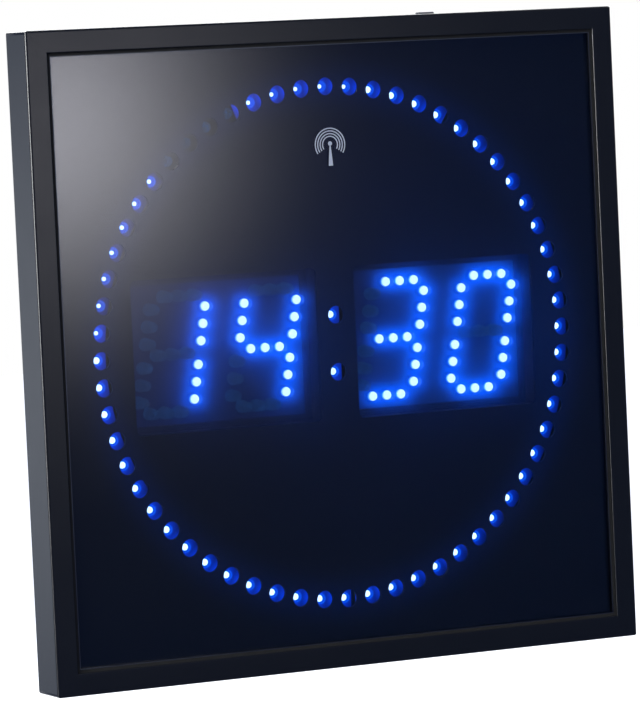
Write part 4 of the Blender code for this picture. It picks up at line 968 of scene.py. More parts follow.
@dataclass
class Frame(Builder):
    """Four mitred rails with the keys that join them and the foam behind the pane."""

    half: float = 145.0 * MM
    depth: float = 22.0 * MM
    bezel: float = 10.0 * MM
    rail: float = 11.8 * MM
    ledge_drop: float = 1.2 * MM
    edge_round: float = 1.0 * MM
    corner_round: float = 1.6 * MM
    inner_round: float = 0.4 * MM
    back_round: float = 0.6 * MM
    wall: float = 1.6 * MM
    lip_back: float = 20.0 * MM
    web_front: float = 9.2 * MM
    channel_top: float = 8.0 * MM
    channel_end: float = 2.3 * MM
    channel_wall: float = 1.2 * MM
    mitre_gap: float = 0.02 * MM
    key_hole_gap: float = 0.3 * MM
    plug_hole_radius: float = 3.2 * MM
    plug_hole_sides: int = 40
    key_skirt: float = 0.7 * MM
    notch_width: float = 2.4 * MM
    ledge_ring_height: float = 0.1 * MM
    ledge_ring_corner: float = 0.1 * MM
    trim_width: float = 0.35 * MM
    reach: float = 1.0 * MM
    round_steps: int = 8

    def section(self) -> list[Point]:
        """Return a rail's section as (u, z): u runs inward from the outer face."""
        front = arc((self.edge_round, self.depth - self.edge_round), self.edge_round, 180.0, 90.0,
                    self.round_steps)
        inner = arc((self.bezel - self.inner_round, self.depth - self.inner_round),
                    self.inner_round, 90.0, 0.0, self.round_steps // 2)
        back = arc((self.back_round, self.back_round), self.back_round, 270.0, 180.0,
                   self.round_steps // 2)
        return front + inner + [
            (self.bezel, self.depth - self.ledge_drop),
            (self.rail, self.depth - self.ledge_drop),
            (self.rail, self.lip_back),
            (self.wall, self.lip_back),
            (self.wall, self.web_front),
            (self.rail, self.web_front),
            (self.rail, self.channel_end),
            (self.rail - self.channel_wall, self.channel_end),
            (self.rail - self.channel_wall, self.channel_top),
            (self.wall, self.channel_top),
            (self.wall, 0.0),
        ] + back

    def rail_mesh(self, quarter: int) -> bpy.types.Mesh:
        """Return one rail with mitred ends, turned to its side of the frame."""
        section = self.section()
        work = bmesh.new()
        ends = []
        for side in (-1, 1):
            ring = []
            for u, z in section:
                y = self.half - u
                ring.append(work.verts.new((side * (y - self.mitre_gap), y, z)))
            ends.append(ring)
        for index in range(len(section)):
            following = (index + 1) % len(section)
            work.faces.new((ends[0][index], ends[0][following], ends[1][following],
                            ends[1][index]))
        for ring in ends:
            work.faces.new(ring)
        mesh = bpy.data.meshes.new("rail")
        work.to_mesh(mesh)
        work.free()
        turn = Matrix.Rotation(quarter * math.pi / 2, 4, "Z")
        return tidy_mesh(mesh, dial_matrix() @ turn)

    def opening_cutters(self, side: str) -> list[bpy.types.Mesh]:
        """Return what is cut out of a rail: the key's hole, or the socket's bay and hole."""
        if side == "top":
            return self.key_cutters()
        if side == "bottom":
            return self.socket_cutters()
        return []

    def key_cutters(self) -> list[bpy.types.Mesh]:
        """Return the hole for the top key's cap and the notch for its lead."""
        low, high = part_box("top_key_cap")
        gap = self.key_hole_gap
        inset = self.key_skirt - gap
        hole = box_mesh((low.x + inset, self.half - self.wall - self.reach, -high.y + inset),
                        (high.x - inset, self.half + self.reach, -low.y - inset))
        inner = self.half - self.rail
        _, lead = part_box("top_key_lead")
        notch = box_mesh((lead.x - self.notch_width, inner - self.reach,
                          self.channel_end - self.reach),
                         (lead.x + self.key_skirt, inner + self.channel_wall + self.reach,
                          self.channel_top - gap))
        return [hole, notch]

    def socket_cutters(self) -> list[bpy.types.Mesh]:
        """Return the bay for the power board and the round hole for the plug."""
        low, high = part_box("power_board")
        jack_low, jack_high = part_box("dc_jack")
        middle = (jack_low.x + jack_high.x) / 2
        level = -(jack_low.y + jack_high.y) / 2
        bay = box_mesh((low.x - self.key_hole_gap, -self.half + self.wall,
                        self.channel_end - self.reach),
                       (high.x + self.key_hole_gap, -self.half + self.rail + self.reach,
                        self.web_front + self.reach))
        along = (Matrix.Translation((middle, -self.half, level))
                 @ Matrix.Rotation(math.pi / 2, 4, "X"))
        span = self.wall + self.reach
        profile = [(0.0, -span), (self.plug_hole_radius, -span), (self.plug_hole_radius, span),
                   (0.0, span)]
        return [bay, turned_mesh(profile, self.plug_hole_sides, dial_matrix() @ along)]

    def corner_block(self) -> bpy.types.Mesh:
        """Return the block with round corners that the rails are trimmed to."""
        outline = rounded_rectangle((0.0, 0.0), self.half, self.half, self.corner_round)
        return plate_mesh([outline], -self.edge_round, self.depth + self.edge_round)

    def square_ring(self, outer: float, inner: float) -> bpy.types.Mesh:
        """Return a thin square ring that lies on the rails' ledge."""
        level = self.depth - self.ledge_drop
        outlines = [rounded_rectangle((0.0, 0.0), half, half, self.ledge_ring_corner, 1)
                    for half in (outer, inner)]
        return plate_mesh(outlines, level, level + self.ledge_ring_height)

    def build(self) -> None:
        """Build the rails with a matt black strip of painted shade on their ledge, and dress what
        they hold.
        """
        opening = self.half - self.rail
        # The strip on the ledge is painted shade for the gap round the pane; the machined edge
        # beside it is trim.
        shade_strip = self.square_ring(self.half - self.bezel, opening + self.trim_width)
        self.piece("ledge_seal", shade_strip, SHADE_STRIP_BLACK.material(), "foam")
        trim = self.square_ring(opening + self.trim_width, opening)
        self.piece("machined_edge", trim, MACHINED.material(), "frame")
        for quarter, side in enumerate(("top", "left", "bottom", "right")):
            mesh = cut_mesh(self.rail_mesh(quarter), [self.corner_block()], "INTERSECT")
            cutters = self.opening_cutters(side)
            if cutters:
                mesh = cut_mesh(mesh, cutters)
            self.piece(f"{side}_rail", smooth(mesh), SATIN_BLACK.material(), "frame",
                       (f"frame_rail_{side}",))
        corners = ("top_right", "top_left", "bottom_left", "bottom_right")
        self.dress(DIE_CAST, *(f"corner_key_{corner}" for corner in corners))
        self.dress(FOAM, *(f"foam_strip_{side}" for side in ("top", "bottom", "left", "right")))


@dataclass
class Display(Builder):
    """What the LED boards share: their levels and the shape of an LED."""

    board_back: float = 4.2 * MM
    board_front: float = 5.8 * MM
    led_radius: float = 2.5 * MM
    led_flange: float = 0.4 * MM
    led_flange_height: float = 1.0 * MM
    led_height: float = 8.6 * MM
    led_sides: int = 20
    dome_steps: int = 7
    core_level: float = 8.8 * MM
    core_sides: int = 16
    core_steps: int = 6
    core_turn: float = 67.5

    def led_mesh(self) -> bpy.types.Mesh:
        """Return a round LED with its flange and dome, about its foot."""
        shoulder = self.led_height - self.led_radius
        dome = [(self.led_radius * math.cos(step * math.pi / 2 / self.dome_steps),
                 shoulder + self.led_radius * math.sin(step * math.pi / 2 / self.dome_steps))
                for step in range(self.dome_steps)]
        flange = self.led_radius + self.led_flange
        profile = [(0.0, 0.0), (flange, 0.0), (flange, self.led_flange_height),
                   (self.led_radius, self.led_flange_height), *dome, (0.0, self.led_height)]
        return turned_mesh(profile, self.led_sides, dial_matrix())

    def core_mesh(self, radius: float) -> bpy.types.Mesh:
        """Return the glowing ball inside an LED, about its own middle."""
        side = arc((0.0, 0.0), radius, -self.core_turn, self.core_turn, self.core_steps)
        profile = [(0.0, -radius), *side, (0.0, radius)]
        return turned_mesh(profile, self.core_sides, dial_matrix())

    def leds(self, name: str, places: list[Point], finish: Finish,
             core_radius: float = 0.0) -> None:
        """Put a group of LEDs on their board.

        Args:
            name: The group's name.
            places: Where its LEDs stand.
            finish: The finish of their bodies.
            core_radius: The radius of the light in them, if they are lit.
        """
        material = finish.material()
        standing = [(x, y, self.board_front) for x, y in places]
        self.piece(name, repeated(name, self.led_mesh(), standing, material), material, "lens")
        if core_radius > 0.0:
            hot = CoreFinish(f"{name}_light", CHIP_WHITE, level=self.core_level,
                             radius=core_radius).material()
            glowing = [(x, y, self.core_level) for x, y in places]
            cores = repeated(f"{name}_cores", self.core_mesh(core_radius), glowing, hot)
            self.piece(f"{name}_cores", cores, hot, "lens")

    def tip_level(self) -> float:
        """Return the level of the LEDs' tips."""
        return self.board_front + self.led_height


@dataclass
class SecondsRing(Display):
    """Sixty LEDs in a ring, one for each second."""

    core_level: float = 10.6 * MM
    core_radius: float = 1.6 * MM
    faint_core_radius: float = 1.0 * MM
    seconds: int = 60
    radius: float = 114.8 * MM
    inner_radius: float = 108.0 * MM
    outer_radius: float = 123.0 * MM
    unlit: tuple[int, ...] = (53, 54, 55, 56)
    first_second: int = 2
    faint_second: int = 46
    dim_second: int = 47
    edge_sides: int = 180
    board_edge: float = 0.1 * MM

    def place(self, second: int) -> Point:
        """Return where a second's LED stands."""
        angle = 2 * math.pi * second / self.seconds
        return (self.radius * math.sin(angle), self.radius * math.cos(angle))

    def board_finish(self) -> Finish:
        """Return the black board's finish, lit by its LEDs."""
        step = 2 * math.pi / self.seconds
        return RingBoardFinish("black_ring_board", BOARD_BLACK, radius=self.radius,
                               count=self.seconds, front=self.board_front,
                               dim_from=(self.dim_second - self.seconds - 0.5) * step,
                               dark_from=(self.unlit[0] - self.seconds - 0.5) * step,
                               dark_to=(self.unlit[-1] - self.seconds + 0.5) * step)

    def build(self) -> None:
        """Build the board and its LEDs."""
        outlines = [circle((0.0, 0.0), radius, self.edge_sides)
                    for radius in (self.outer_radius, self.inner_radius)]
        mesh = plate_mesh(outlines, self.board_back, self.board_front, self.board_edge)
        self.piece("ring_board", mesh, self.board_finish().material(), "board",
                   ("seconds_ring_board",))
        lit = LightFinish("lit_blue_second", LIT_BODY, tip_level=self.tip_level())
        last = self.seconds + self.first_second
        groups = {"lit_seconds": (range(self.first_second, self.faint_second), self.core_radius),
                  "faint_seconds": (range(self.faint_second, last), self.faint_core_radius)}
        for name, (seconds, radius) in groups.items():
            places = [self.place(second) for second in seconds if second not in self.unlit]
            self.leds(name, places, lit, radius)
        self.leds("unlit_seconds", [self.place(second) for second in self.unlit], DARK_LED)


class Segment(Enum):
    """The seven bars of a digit."""

    TOP = 0
    MIDDLE = 1
    BOTTOM = 2
    UPPER_LEFT = 3
    UPPER_RIGHT = 4
    LOWER_LEFT = 5
    LOWER_RIGHT = 6


RIGHT_BARS = (Segment.UPPER_RIGHT, Segment.LOWER_RIGHT)
DIGIT_BARS = {
    0: (Segment.TOP, Segment.BOTTOM, Segment.UPPER_LEFT, Segment.LOWER_LEFT, *RIGHT_BARS),
    1: RIGHT_BARS,
    3: (Segment.TOP, Segment.MIDDLE, Segment.BOTTOM, *RIGHT_BARS),
    4: (Segment.UPPER_LEFT, Segment.MIDDLE, *RIGHT_BARS),
}


@dataclass
class Digits(Display):
    """Two windows, each with a board of two slanted seven-segment digits behind it."""

    core_radius: float = 2.2 * MM
    body_alpha: float = 0.25
    hours: tuple[int, int] = (1, 4)
    minutes: tuple[int, int] = (3, 0)
    bar_leds: int = 3
    row_pitch: float = 7.1 * MM
    column_pitch: float = 7.6 * MM
    column_offset: float = 12.9 * MM
    row_rise: float = 25.6 * MM
    slant: float = 10.0
    digit_pitch: float = 45.0 * MM
    film_step: float = 1.0 * MM
    film_gap: float = 0.05 * MM
    film_margin: float = 0.2 * MM
    sheet_margin: float = 0.5 * MM
    glow_reach: float = 4.2 * MM
    window_flange: float = 1.3 * MM
    window_corner: float = 2.2 * MM
    window_step: float = 0.2 * MM
    window_edge: float = 0.15 * MM
    window_light: float = 0.03
    shroud_wall: float = 0.8 * MM
    shroud_foot: float = 4.0 * MM
    far_light: float = 0.09
    far_reach: float = 2.7

    def bar(self, centre: float, segment: Segment) -> list[Point]:
        """Return the LED places of one bar of a digit."""
        slope = math.tan(math.radians(self.slant))
        steps = [index - (self.bar_leds - 1) / 2 for index in range(self.bar_leds)]
        rows = {Segment.TOP: 1, Segment.MIDDLE: 0, Segment.BOTTOM: -1}
        if segment in rows:
            y = rows[segment] * self.row_rise
            return [(centre + slope * y + step * self.row_pitch, y) for step in steps]
        side = 1 if segment in RIGHT_BARS else -1
        half = 1 if segment in (Segment.UPPER_LEFT, Segment.UPPER_RIGHT) else -1
        levels = [half * self.row_rise / 2 + step * self.column_pitch for step in steps]
        return [(centre + side * self.column_offset + slope * y, y) for y in levels]

    def glow_mesh(self, low: Vector, high: Vector, level: float,
                  lit: list[Point]) -> bpy.types.Mesh:
        """Return a thin film whose vertices know how much light reaches them.

        Args:
            low: The lowest corner of the film, in the frame.
            high: Its highest corner.
            level: The level of its front.
            lit: The lit LEDs behind it.

        Returns:
            The film's mesh, with its light as an attribute.
        """
        width = high.x - low.x
        height = high.z - low.z
        middle = Matrix.Translation(((low.x + high.x) / 2, (low.z + high.z) / 2, level))
        work = bmesh.new()
        bmesh.ops.create_grid(work, x_segments=round(width / self.film_step),
                              y_segments=round(height / self.film_step), size=0.5)
        bmesh.ops.transform(work, verts=work.verts,
                            matrix=middle @ Matrix.Diagonal((width, height, 1.0, 1.0)))
        layer = work.verts.layers.float.new(LIGHT_ATTRIBUTE)
        for vertex in work.verts:
            light = self.window_light
            for x, y in lit:
                distance = math.hypot(vertex.co.x - x, vertex.co.y - y)
                share = distance / self.glow_reach
                light += math.exp(-share ** 2)
                light += self.far_light * math.exp(-(share / self.far_reach) ** 2)
            vertex[layer] = light
        mesh = bpy.data.meshes.new("film")
        bmesh.ops.transform(work, verts=work.verts, matrix=dial_matrix())
        work.to_mesh(mesh)
        work.free()
        return smooth(mesh)

    def shroud_mesh(self, middle: float, low: Vector, high: Vector) -> bpy.types.Mesh:
        """Return the black frame that keeps the light of one window from its neighbours.

        Args:
            middle: The window's middle, across the dial.
            low: The lens's lowest corner, in the frame.
            high: Its highest corner.

        Returns:
            The frame's mesh: a foot round the board's edge with a wall on it.
        """
        half_width = (high.x - low.x) / 2
        half_height = (high.z - low.z) / 2
        foot_low = self.board_front + 2 * self.film_gap
        foot_high = foot_low + self.shroud_wall
        meshes = []
        for width, bottom, top in ((self.shroud_foot, foot_low, foot_high),
                                   (self.shroud_wall, foot_high, -high.y - self.film_gap)):
            outlines = [rounded_rectangle((middle, 0.0), half_width - inset,
                                          half_height - inset, self.shroud_wall)
                        for inset in (0.0, width)]
            meshes.append(plate_mesh(outlines, bottom, top))
        return joined_mesh(meshes)

    def pair(self, name: str, digits: tuple[int, int]) -> None:
        """Build one window with its board, LEDs, lens and tinted film with painted LED glow.

        Args:
            name: The pair's name.
            digits: The digits that it shows.
        """
        low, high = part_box(f"{name}_display_board")
        middle = (low.x + high.x) / 2
        lit = []
        unlit = []
        for side, digit in zip((-1, 1), digits):
            centre = middle + side * self.digit_pitch / 2
            for segment in Segment:
                places = self.bar(centre, segment)
                if segment in DIGIT_BARS[digit]:
                    lit += places
                else:
                    unlit += places
        board = box_mesh((low.x, low.z, self.board_back),
                         (high.x, high.z, self.board_front - 2 * self.film_gap))
        self.piece(f"{name}_board", board, BLACK_BOARD.material(), "board",
                   (f"{name}_display_board",))
        margin = Vector((self.sheet_margin, 0.0, self.sheet_margin))
        # A sheet on the board's face carries the painted blue glow round the lit LEDs.
        sheet = self.glow_mesh(low + margin, high - margin, self.board_front - self.film_gap, lit)
        self.piece(f"{name}_board_mask", sheet, LIT_BOARD.material(), "board")
        shining = LightFinish("lit_blue_digit", LIT_BODY, tip_level=self.tip_level(),
                              alpha=self.body_alpha)
        self.leds(f"{name}_lit_leds", lit, shining, self.core_radius)
        self.leds(f"{name}_unlit_leds", unlit, DARK_LED)
        self.window(name, middle, lit)

    def window(self, name: str, middle: float, lit: list[Point]) -> None:
        """Build what stands in front of one pair's LEDs.

        Args:
            name: The pair's name.
            middle: The window's middle, across the dial.
            lit: The lit LEDs behind it.
        """
        low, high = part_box(f"{name}_window_lens")
        mask_low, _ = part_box("mask_plate")
        self.piece(f"{name}_shroud", self.shroud_mesh(middle, low, high), BLACK_BOARD.material(),
                   "mask")
        outline = rounded_rectangle((middle, 0.0), (high.x - low.x) / 2 - self.window_flange,
                                    (high.z - low.z) / 2 - self.window_flange, self.window_corner)
        lens = plate_mesh([outline], -high.y + self.window_step, -mask_low.y, self.window_edge)
        self.piece(f"{name}_window", lens, WINDOW.material(), "lens", (f"{name}_window_lens",))
        # The film's tint dims what lies behind it; its glow round the lit LEDs is painted light.
        margin = Vector((self.film_margin, 0.0, self.film_margin))
        film = self.glow_mesh(low + margin, high - margin, -high.y, lit)
        self.piece(f"{name}_tint_film", film, TINT_AND_GLOW_FILM.material(), "lens")

    def build(self) -> None:
        """Build both windows."""
        self.pair("hour", self.hours)
        self.pair("minute", self.minutes)


@dataclass
class Colon(Display):
    """Two LEDs between the windows."""

    core_level: float = 10.6 * MM
    core_radius: float = 1.7 * MM
    body_alpha: float = 0.4
    body_light: float = 0.9
    rise: float = 12.8 * MM

    def build(self) -> None:
        """Build the colon's board and LEDs."""
        low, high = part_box("colon_board")
        board = box_mesh((low.x, low.z, self.board_back), (high.x, high.z, self.board_front))
        finish = ColonBoardFinish("black_colon_board", BOARD_BLACK, rise=self.rise)
        self.piece("colon_plate", board, finish.material(), "board", ("colon_board",))
        lit = LightFinish("lit_blue_colon", LIT_BODY, tip_level=self.tip_level(),
                          alpha=self.body_alpha, strength=self.body_light)
        self.leds("colon_leds", [(0.0, self.rise), (0.0, -self.rise)], lit, self.core_radius)


@dataclass
class Front(Builder):
    """Polished pane, perforated mask and the printed radio sign."""

    half: float = 143.1 * MM
    pane_edge: float = 0.3 * MM
    aperture_radius: float = 4.0 * MM
    aperture_sides: int = 40
    ring_radius: float = 114.8 * MM
    colon_rise: float = 12.8 * MM
    window_half_width: float = 45.25 * MM
    window_half_height: float = 34.25 * MM
    window_centre: float = 54.55 * MM
    window_corner: float = 2.5 * MM
    sign_base: float = 79.4 * MM
    sign_mast: float = 9.4 * MM
    sign_line: float = 0.5 * MM
    sign_foot: float = 1.1 * MM
    sign_waves: int = 4
    wave_start: float = 3.7 * MM
    wave_pitch: float = 1.2 * MM
    wave_dip: float = 32.0
    wave_steps: int = 40
    ball_sides: int = 20
    ink: float = 0.08 * MM
    mask_thickness: float = 1.5 * MM
    mask_corner: float = 0.2 * MM
    pane_corner: float = 0.5 * MM
    hole_count: int = 60
    stray_rise: float = 13.0 * MM
    stray_width: float = 24.0 * MM
    stray_light: tuple[Point, ...] = ((-66.0 * MM, 0.022), (-20.0 * MM, 0.03),
                                      (42.0 * MM, 0.034), (88.0 * MM, 0.034))
    # A broad faint patch of painted blue glow on the mask, right of and above the middle.
    haze: GlowBlob = GlowBlob(40.0 * MM, 20.0 * MM, 95.0 * MM, 0.016)

    def mask_finish(self) -> Finish:
        """Return the mask's finish, with the light that strays round the digits."""
        blobs = tuple(GlowBlob(x, y, self.stray_width, strength) for x, strength in self.stray_light
                      for y in (-self.stray_rise, self.stray_rise))
        return MaskFinish("matt_black_mask", MASK_BLACK, ring_radius=self.ring_radius,
                          blobs=(*blobs, self.haze))

    def mask_outlines(self) -> list[list[Point]]:
        """Return the outlines of the mask, its windows and the colon's apertures."""
        outlines = [rounded_rectangle((0.0, 0.0), self.half, self.half, self.mask_corner, 1)]
        for side in (-1, 1):
            outlines.append(rounded_rectangle((side * self.window_centre, 0.0),
                                              self.window_half_width, self.window_half_height,
                                              self.window_corner))
        for up in (-1, 1):
            outlines.append(circle((0.0, up * self.colon_rise), self.aperture_radius,
                                   self.aperture_sides))
        return outlines

    def mask_mesh(self) -> bpy.types.Mesh:
        """Return the mask, perforated by Geometry Nodes from its outlines."""
        graph = GeometryGraph("perforated_mask")
        count = graph.size("Holes", self.hole_count, "Int")
        ring = graph.size("Ring Radius", self.ring_radius)
        hole = graph.size("Hole Radius", self.aperture_radius)
        sides = graph.size("Hole Sides", self.aperture_sides, "Int")
        depth = graph.size("Thickness", self.mask_thickness)
        spots = graph.node("GeometryNodeMeshCircle", inputs={"Vertices": count, "Radius": ring})
        edge = graph.node("GeometryNodeCurvePrimitiveCircle",
                          inputs={"Resolution": sides, "Radius": hole})
        holes = graph.node("GeometryNodeInstanceOnPoints",
                           inputs={"Points": spots.outputs[0], "Instance": edge.outputs[0]})
        real = graph.node("GeometryNodeRealizeInstances", inputs={0: holes.outputs[0]})
        outline = graph.node("GeometryNodeJoinGeometry")
        graph.feed(outline.inputs[0], real.outputs[0])
        graph.feed(outline.inputs[0], graph.entry.outputs["Geometry"])
        filled = graph.node("GeometryNodeFillCurve", inputs={0: outline.outputs[0]})
        raised = graph.node("GeometryNodeExtrudeMesh",
                            inputs={"Mesh": filled.outputs[0], "Offset Scale": depth,
                                    "Individual": False})
        turned = graph.node("GeometryNodeFlipFaces", inputs={0: filled.outputs[0]})
        closed = graph.node("GeometryNodeJoinGeometry")
        graph.feed(closed.inputs[0], raised.outputs[0])
        graph.feed(closed.inputs[0], turned.outputs[0])
        merged = graph.node("GeometryNodeMergeByDistance", inputs={0: closed.outputs[0]})
        graph.feed(merged.inputs["Distance"], WELD)
        graph.finish(merged.outputs[0], self.mask_finish().material())
        mesh = graph.run("mask_outline", outline_curve("mask_outline", self.mask_outlines()))
        low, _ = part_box("mask_plate")
        lowest = min(vertex.co.z for vertex in mesh.vertices)
        lift = Matrix.Translation((0.0, 0.0, -low.y - self.mask_thickness - lowest))
        return smooth(tidy_mesh(mesh, dial_matrix() @ lift))

    def sign_mesh(self) -> bpy.types.Mesh:
        """Return the sign printed on the pane: a mast with waves around its top."""
        low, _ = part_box("front_pane")
        level = -low.y
        source = self.sign_base + self.sign_mast
        half = self.sign_line / 2
        mast = [(-self.sign_foot, self.sign_base), (self.sign_foot, self.sign_base),
                (half, source), (-half, source)]
        ball = circle((0.0, source + self.sign_line), 2 * self.sign_line, self.ball_sides)
        outlines = [mast, ball]
        start = -self.wave_dip
        end = 180.0 + self.wave_dip
        for wave in range(self.sign_waves):
            radius = self.wave_start + wave * self.wave_pitch
            outlines.append(arc((0.0, source), radius + half, start, end, self.wave_steps)
                            + arc((0.0, source), radius - half, end, start, self.wave_steps))
        meshes = [plate_mesh([outline], level, level + self.ink) for outline in outlines]
        return joined_mesh(meshes)

    def build(self) -> None:
        """Build the pane, the mask and the sign."""
        low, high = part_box("front_pane")
        outline = rounded_rectangle((0.0, 0.0), self.half, self.half, self.pane_corner)
        pane = plate_mesh([outline], -high.y, -low.y, self.pane_edge)
        self.piece("pane", pane, PANE.material(), "pane", ("front_pane",))
        self.piece("mask", self.mask_mesh(), self.mask_finish().material(), "mask",
                   ("mask_plate",))
        self.piece("radio_sign", self.sign_mesh(), PRINT_GREY.material(), "pane")


@dataclass
class Studio:
    """Camera, floor, lamps, soft reflection and world."""

    target_width: float = 290.0 * MM
    pan: float = -25.88
    tilt: float = 3.96
    roll: float = -4.41
    focal_pixels: float = 4694.0
    offset_across: float = 0.0662
    offset_down: float = -0.0245
    distance: float = 14.444
    front_depth: float = 22.0 * MM
    pane_drop: float = 2.3 * MM
    near: float = 10.0 * MM
    floor_drop: float = 420.0 * MM
    floor_half: float = 6.0
    floor_tone: Colour = (0.82, 0.82, 0.82)
    floor_glow: Colour = (0.9, 0.9, 0.9)
    floor_roughness: float = 0.9
    behind_ramp: tuple[float, float] = (-0.1, 0.3)
    right_ramp: tuple[float, float] = (-0.3, 0.2)
    room_front: Colour = (0.018, 0.042, 0.13)
    room_soft: Colour = (0.2, 0.26, 0.42)
    glare_x: float = -137.0 * MM
    glare_y: float = 103.0 * MM
    glare_width: float = 69.0 * MM
    glare_height: float = 67.0 * MM
    glare_light: float = 3.9
    veil_reach: float = 2.2
    veil_light: float = 0.12
    edge_light: float = 20.0
    side_tint: Colour = (1.0, 1.1, 1.28)
    side_glow: float = 0.07
    side_level: float = -0.065
    side_dim: float = 0.03
    card_reach: float = 1.2
    card_size: float = 2.6
    edge_place: Place = (-1.6, -0.5, 0.0)
    edge_size: tuple[float, float] = (1.3, 2.4)
    edge_turn: float = 70.0
    edge_fade: tuple[float, float] = (-0.3, 0.15)
    edge_rest: float = 0.03
    glare_tint: Colour = (1.0, 0.98, 1.04)
    lamps: dict[str, tuple[Place, float, float]] = field(default_factory=lambda: {
        "key_lamp": ((-1.1, -1.5, 1.5), 1.0, 22.0),
        "fill_lamp": ((1.6, -0.9, 0.9), 1.2, 5.0),
        "back_lamp": ((0.6, 1.8, 1.2), 1.2, 22.0),
    })

    def camera_matrix(self) -> Matrix:
        """Return the camera's place: the view that the photograph was taken from."""
        turn = (Matrix.Rotation(math.radians(self.roll), 3, "Z")
                @ Matrix.Rotation(math.radians(self.pan), 3, "Y")
                @ Matrix.Rotation(math.radians(self.tilt), 3, "X"))
        unit = self.target_width / 2
        eye = -(turn.transposed() @ Vector((self.offset_across, self.offset_down, self.distance)))
        place = Vector((eye.x * unit, -self.front_depth + eye.z * unit, -eye.y * unit))
        rows = [Vector((row.x, row.z, -row.y)) for row in turn]
        axes = Matrix((rows[0], -rows[1], -rows[2])).transposed()
        return Matrix.Translation(place) @ axes.to_4x4()

    def camera(self) -> None:
        """Add the camera."""
        data = bpy.data.cameras.new("camera")
        data.sensor_width = SENSOR
        data.lens = self.focal_pixels / IMAGE_HEIGHT * SENSOR
        data.clip_start = self.near
        made = new_object("camera", data)
        made.matrix_world = self.camera_matrix()
        bpy.context.scene.camera = made

    def floor(self) -> None:
        """Add a pale floor, white to the camera."""
        work = bmesh.new()
        bmesh.ops.create_grid(work, x_segments=1, y_segments=1, size=self.floor_half,
                              matrix=Matrix.Translation((0.0, 0.0, -self.floor_drop)))
        mesh = bpy.data.meshes.new("floor")
        work.to_mesh(mesh)
        work.free()
        material = bpy.data.materials.new("pale_floor")
        material.use_nodes = True
        graph = Graph(material.node_tree)
        shader = material.node_tree.nodes["Principled BSDF"]
        graph.feed(shader.inputs["Base Color"], self.floor_tone)
        graph.feed(shader.inputs["Roughness"], self.floor_roughness)
        path = graph.node("ShaderNodeLightPath")
        seen = Value(graph, path.outputs["Is Camera Ray"])
        graph.feed(shader.inputs["Emission Color"], graph.tinted(seen, self.floor_glow))
        shader.inputs["Emission Strength"].default_value = 1.0
        mesh.materials.append(material)
        made = new_object("floor", mesh)
        made.visible_glossy = False
        made.visible_transmission = False

    def lamp(self, name: str, place: Place, width: float, power: float) -> None:
        """Add a soft lamp that faces the clock.

        Args:
            name: The lamp's name.
            place: Where it stands.
            width: The width and height of its face.
            power: Its power in watts.
        """
        data = bpy.data.lights.new(name, "AREA")
        data.shape = "SQUARE"
        data.size = width
        data.energy = power
        made = new_object(name, data)
        made.location = place
        made.rotation_euler = (-Vector(place)).to_track_quat("-Z", "Y").to_euler()

    def card(self, name: str, middle: Vector, width: float, height: float, turn: float) -> Graph:
        """Add an upright card that only mirrors and the pane see.

        Args:
            name: The card's name.
            middle: Where its middle is.
            width: Its width.
            height: Its height.
            turn: Its turn about the vertical, in degrees.

        Returns:
            The graph of its material, which ends in an emission node.
        """
        stand = (Matrix.Translation(middle) @ Matrix.Rotation(math.radians(turn), 4, "Z")
                 @ Matrix.Rotation(math.pi / 2, 4, "X")
                 @ Matrix.Diagonal((width, height, 1.0, 1.0)))
        work = bmesh.new()
        bmesh.ops.create_grid(work, x_segments=1, y_segments=1, size=0.5, matrix=stand)
        mesh = bpy.data.meshes.new(name)
        work.to_mesh(mesh)
        work.free()
        material = bpy.data.materials.new(name)
        material.use_nodes = True
        graph = Graph(material.node_tree)
        graph.tree.nodes.remove(graph.tree.nodes["Principled BSDF"])
        glow = graph.node("ShaderNodeEmission")
        output = next(node for node in graph.tree.nodes if node.type == "OUTPUT_MATERIAL")
        graph.feed(output.inputs["Surface"], glow.outputs[0])
        mesh.materials.append(material)
        made = new_object(name, mesh)
        made.visible_camera = False
        made.visible_diffuse = False
        made.visible_shadow = False
        return graph

    def edge_card(self) -> None:
        """Add the card that draws a bright line along the frame's left edge."""
        graph = self.card("edge_card", Vector(self.edge_place), *self.edge_size, self.edge_turn)
        _, _, up = graph.place()
        light = up.rise(*self.edge_fade) * (1.0 - self.edge_rest) + self.edge_rest
        graph.feed(graph.tree.nodes["Emission"].inputs["Strength"], light * self.edge_light)

    def reflection(self) -> None:
        """Add the soft card that the pane mirrors towards its upper left."""
        eye = self.camera_matrix().translation
        pane = -(self.front_depth - self.pane_drop)
        share = self.card_reach / abs(pane - eye.y)
        middle = Vector((-eye.x * share, pane - self.card_reach, -eye.z * share))
        grow = 1.0 + share
        graph = self.card("soft_reflection", middle, self.card_size, self.card_size, 0.0)
        across, _, up = graph.place()
        dial_x = (across - middle.x) / grow
        dial_y = (up - middle.z) / grow
        side = (dial_x - self.glare_x) / self.glare_width
        above = (dial_y - self.glare_y) / self.glare_height
        distance = (side * side + above * above).root()
        glare = distance.bell(1.0) * self.glare_light
        veil = distance.bell(self.veil_reach) * self.veil_light
        colour = graph.summed(graph.tinted(glare + veil, self.glare_tint),
                              graph.tinted(1.0, self.room_front))
        graph.feed(graph.tree.nodes["Emission"].inputs["Color"], colour)

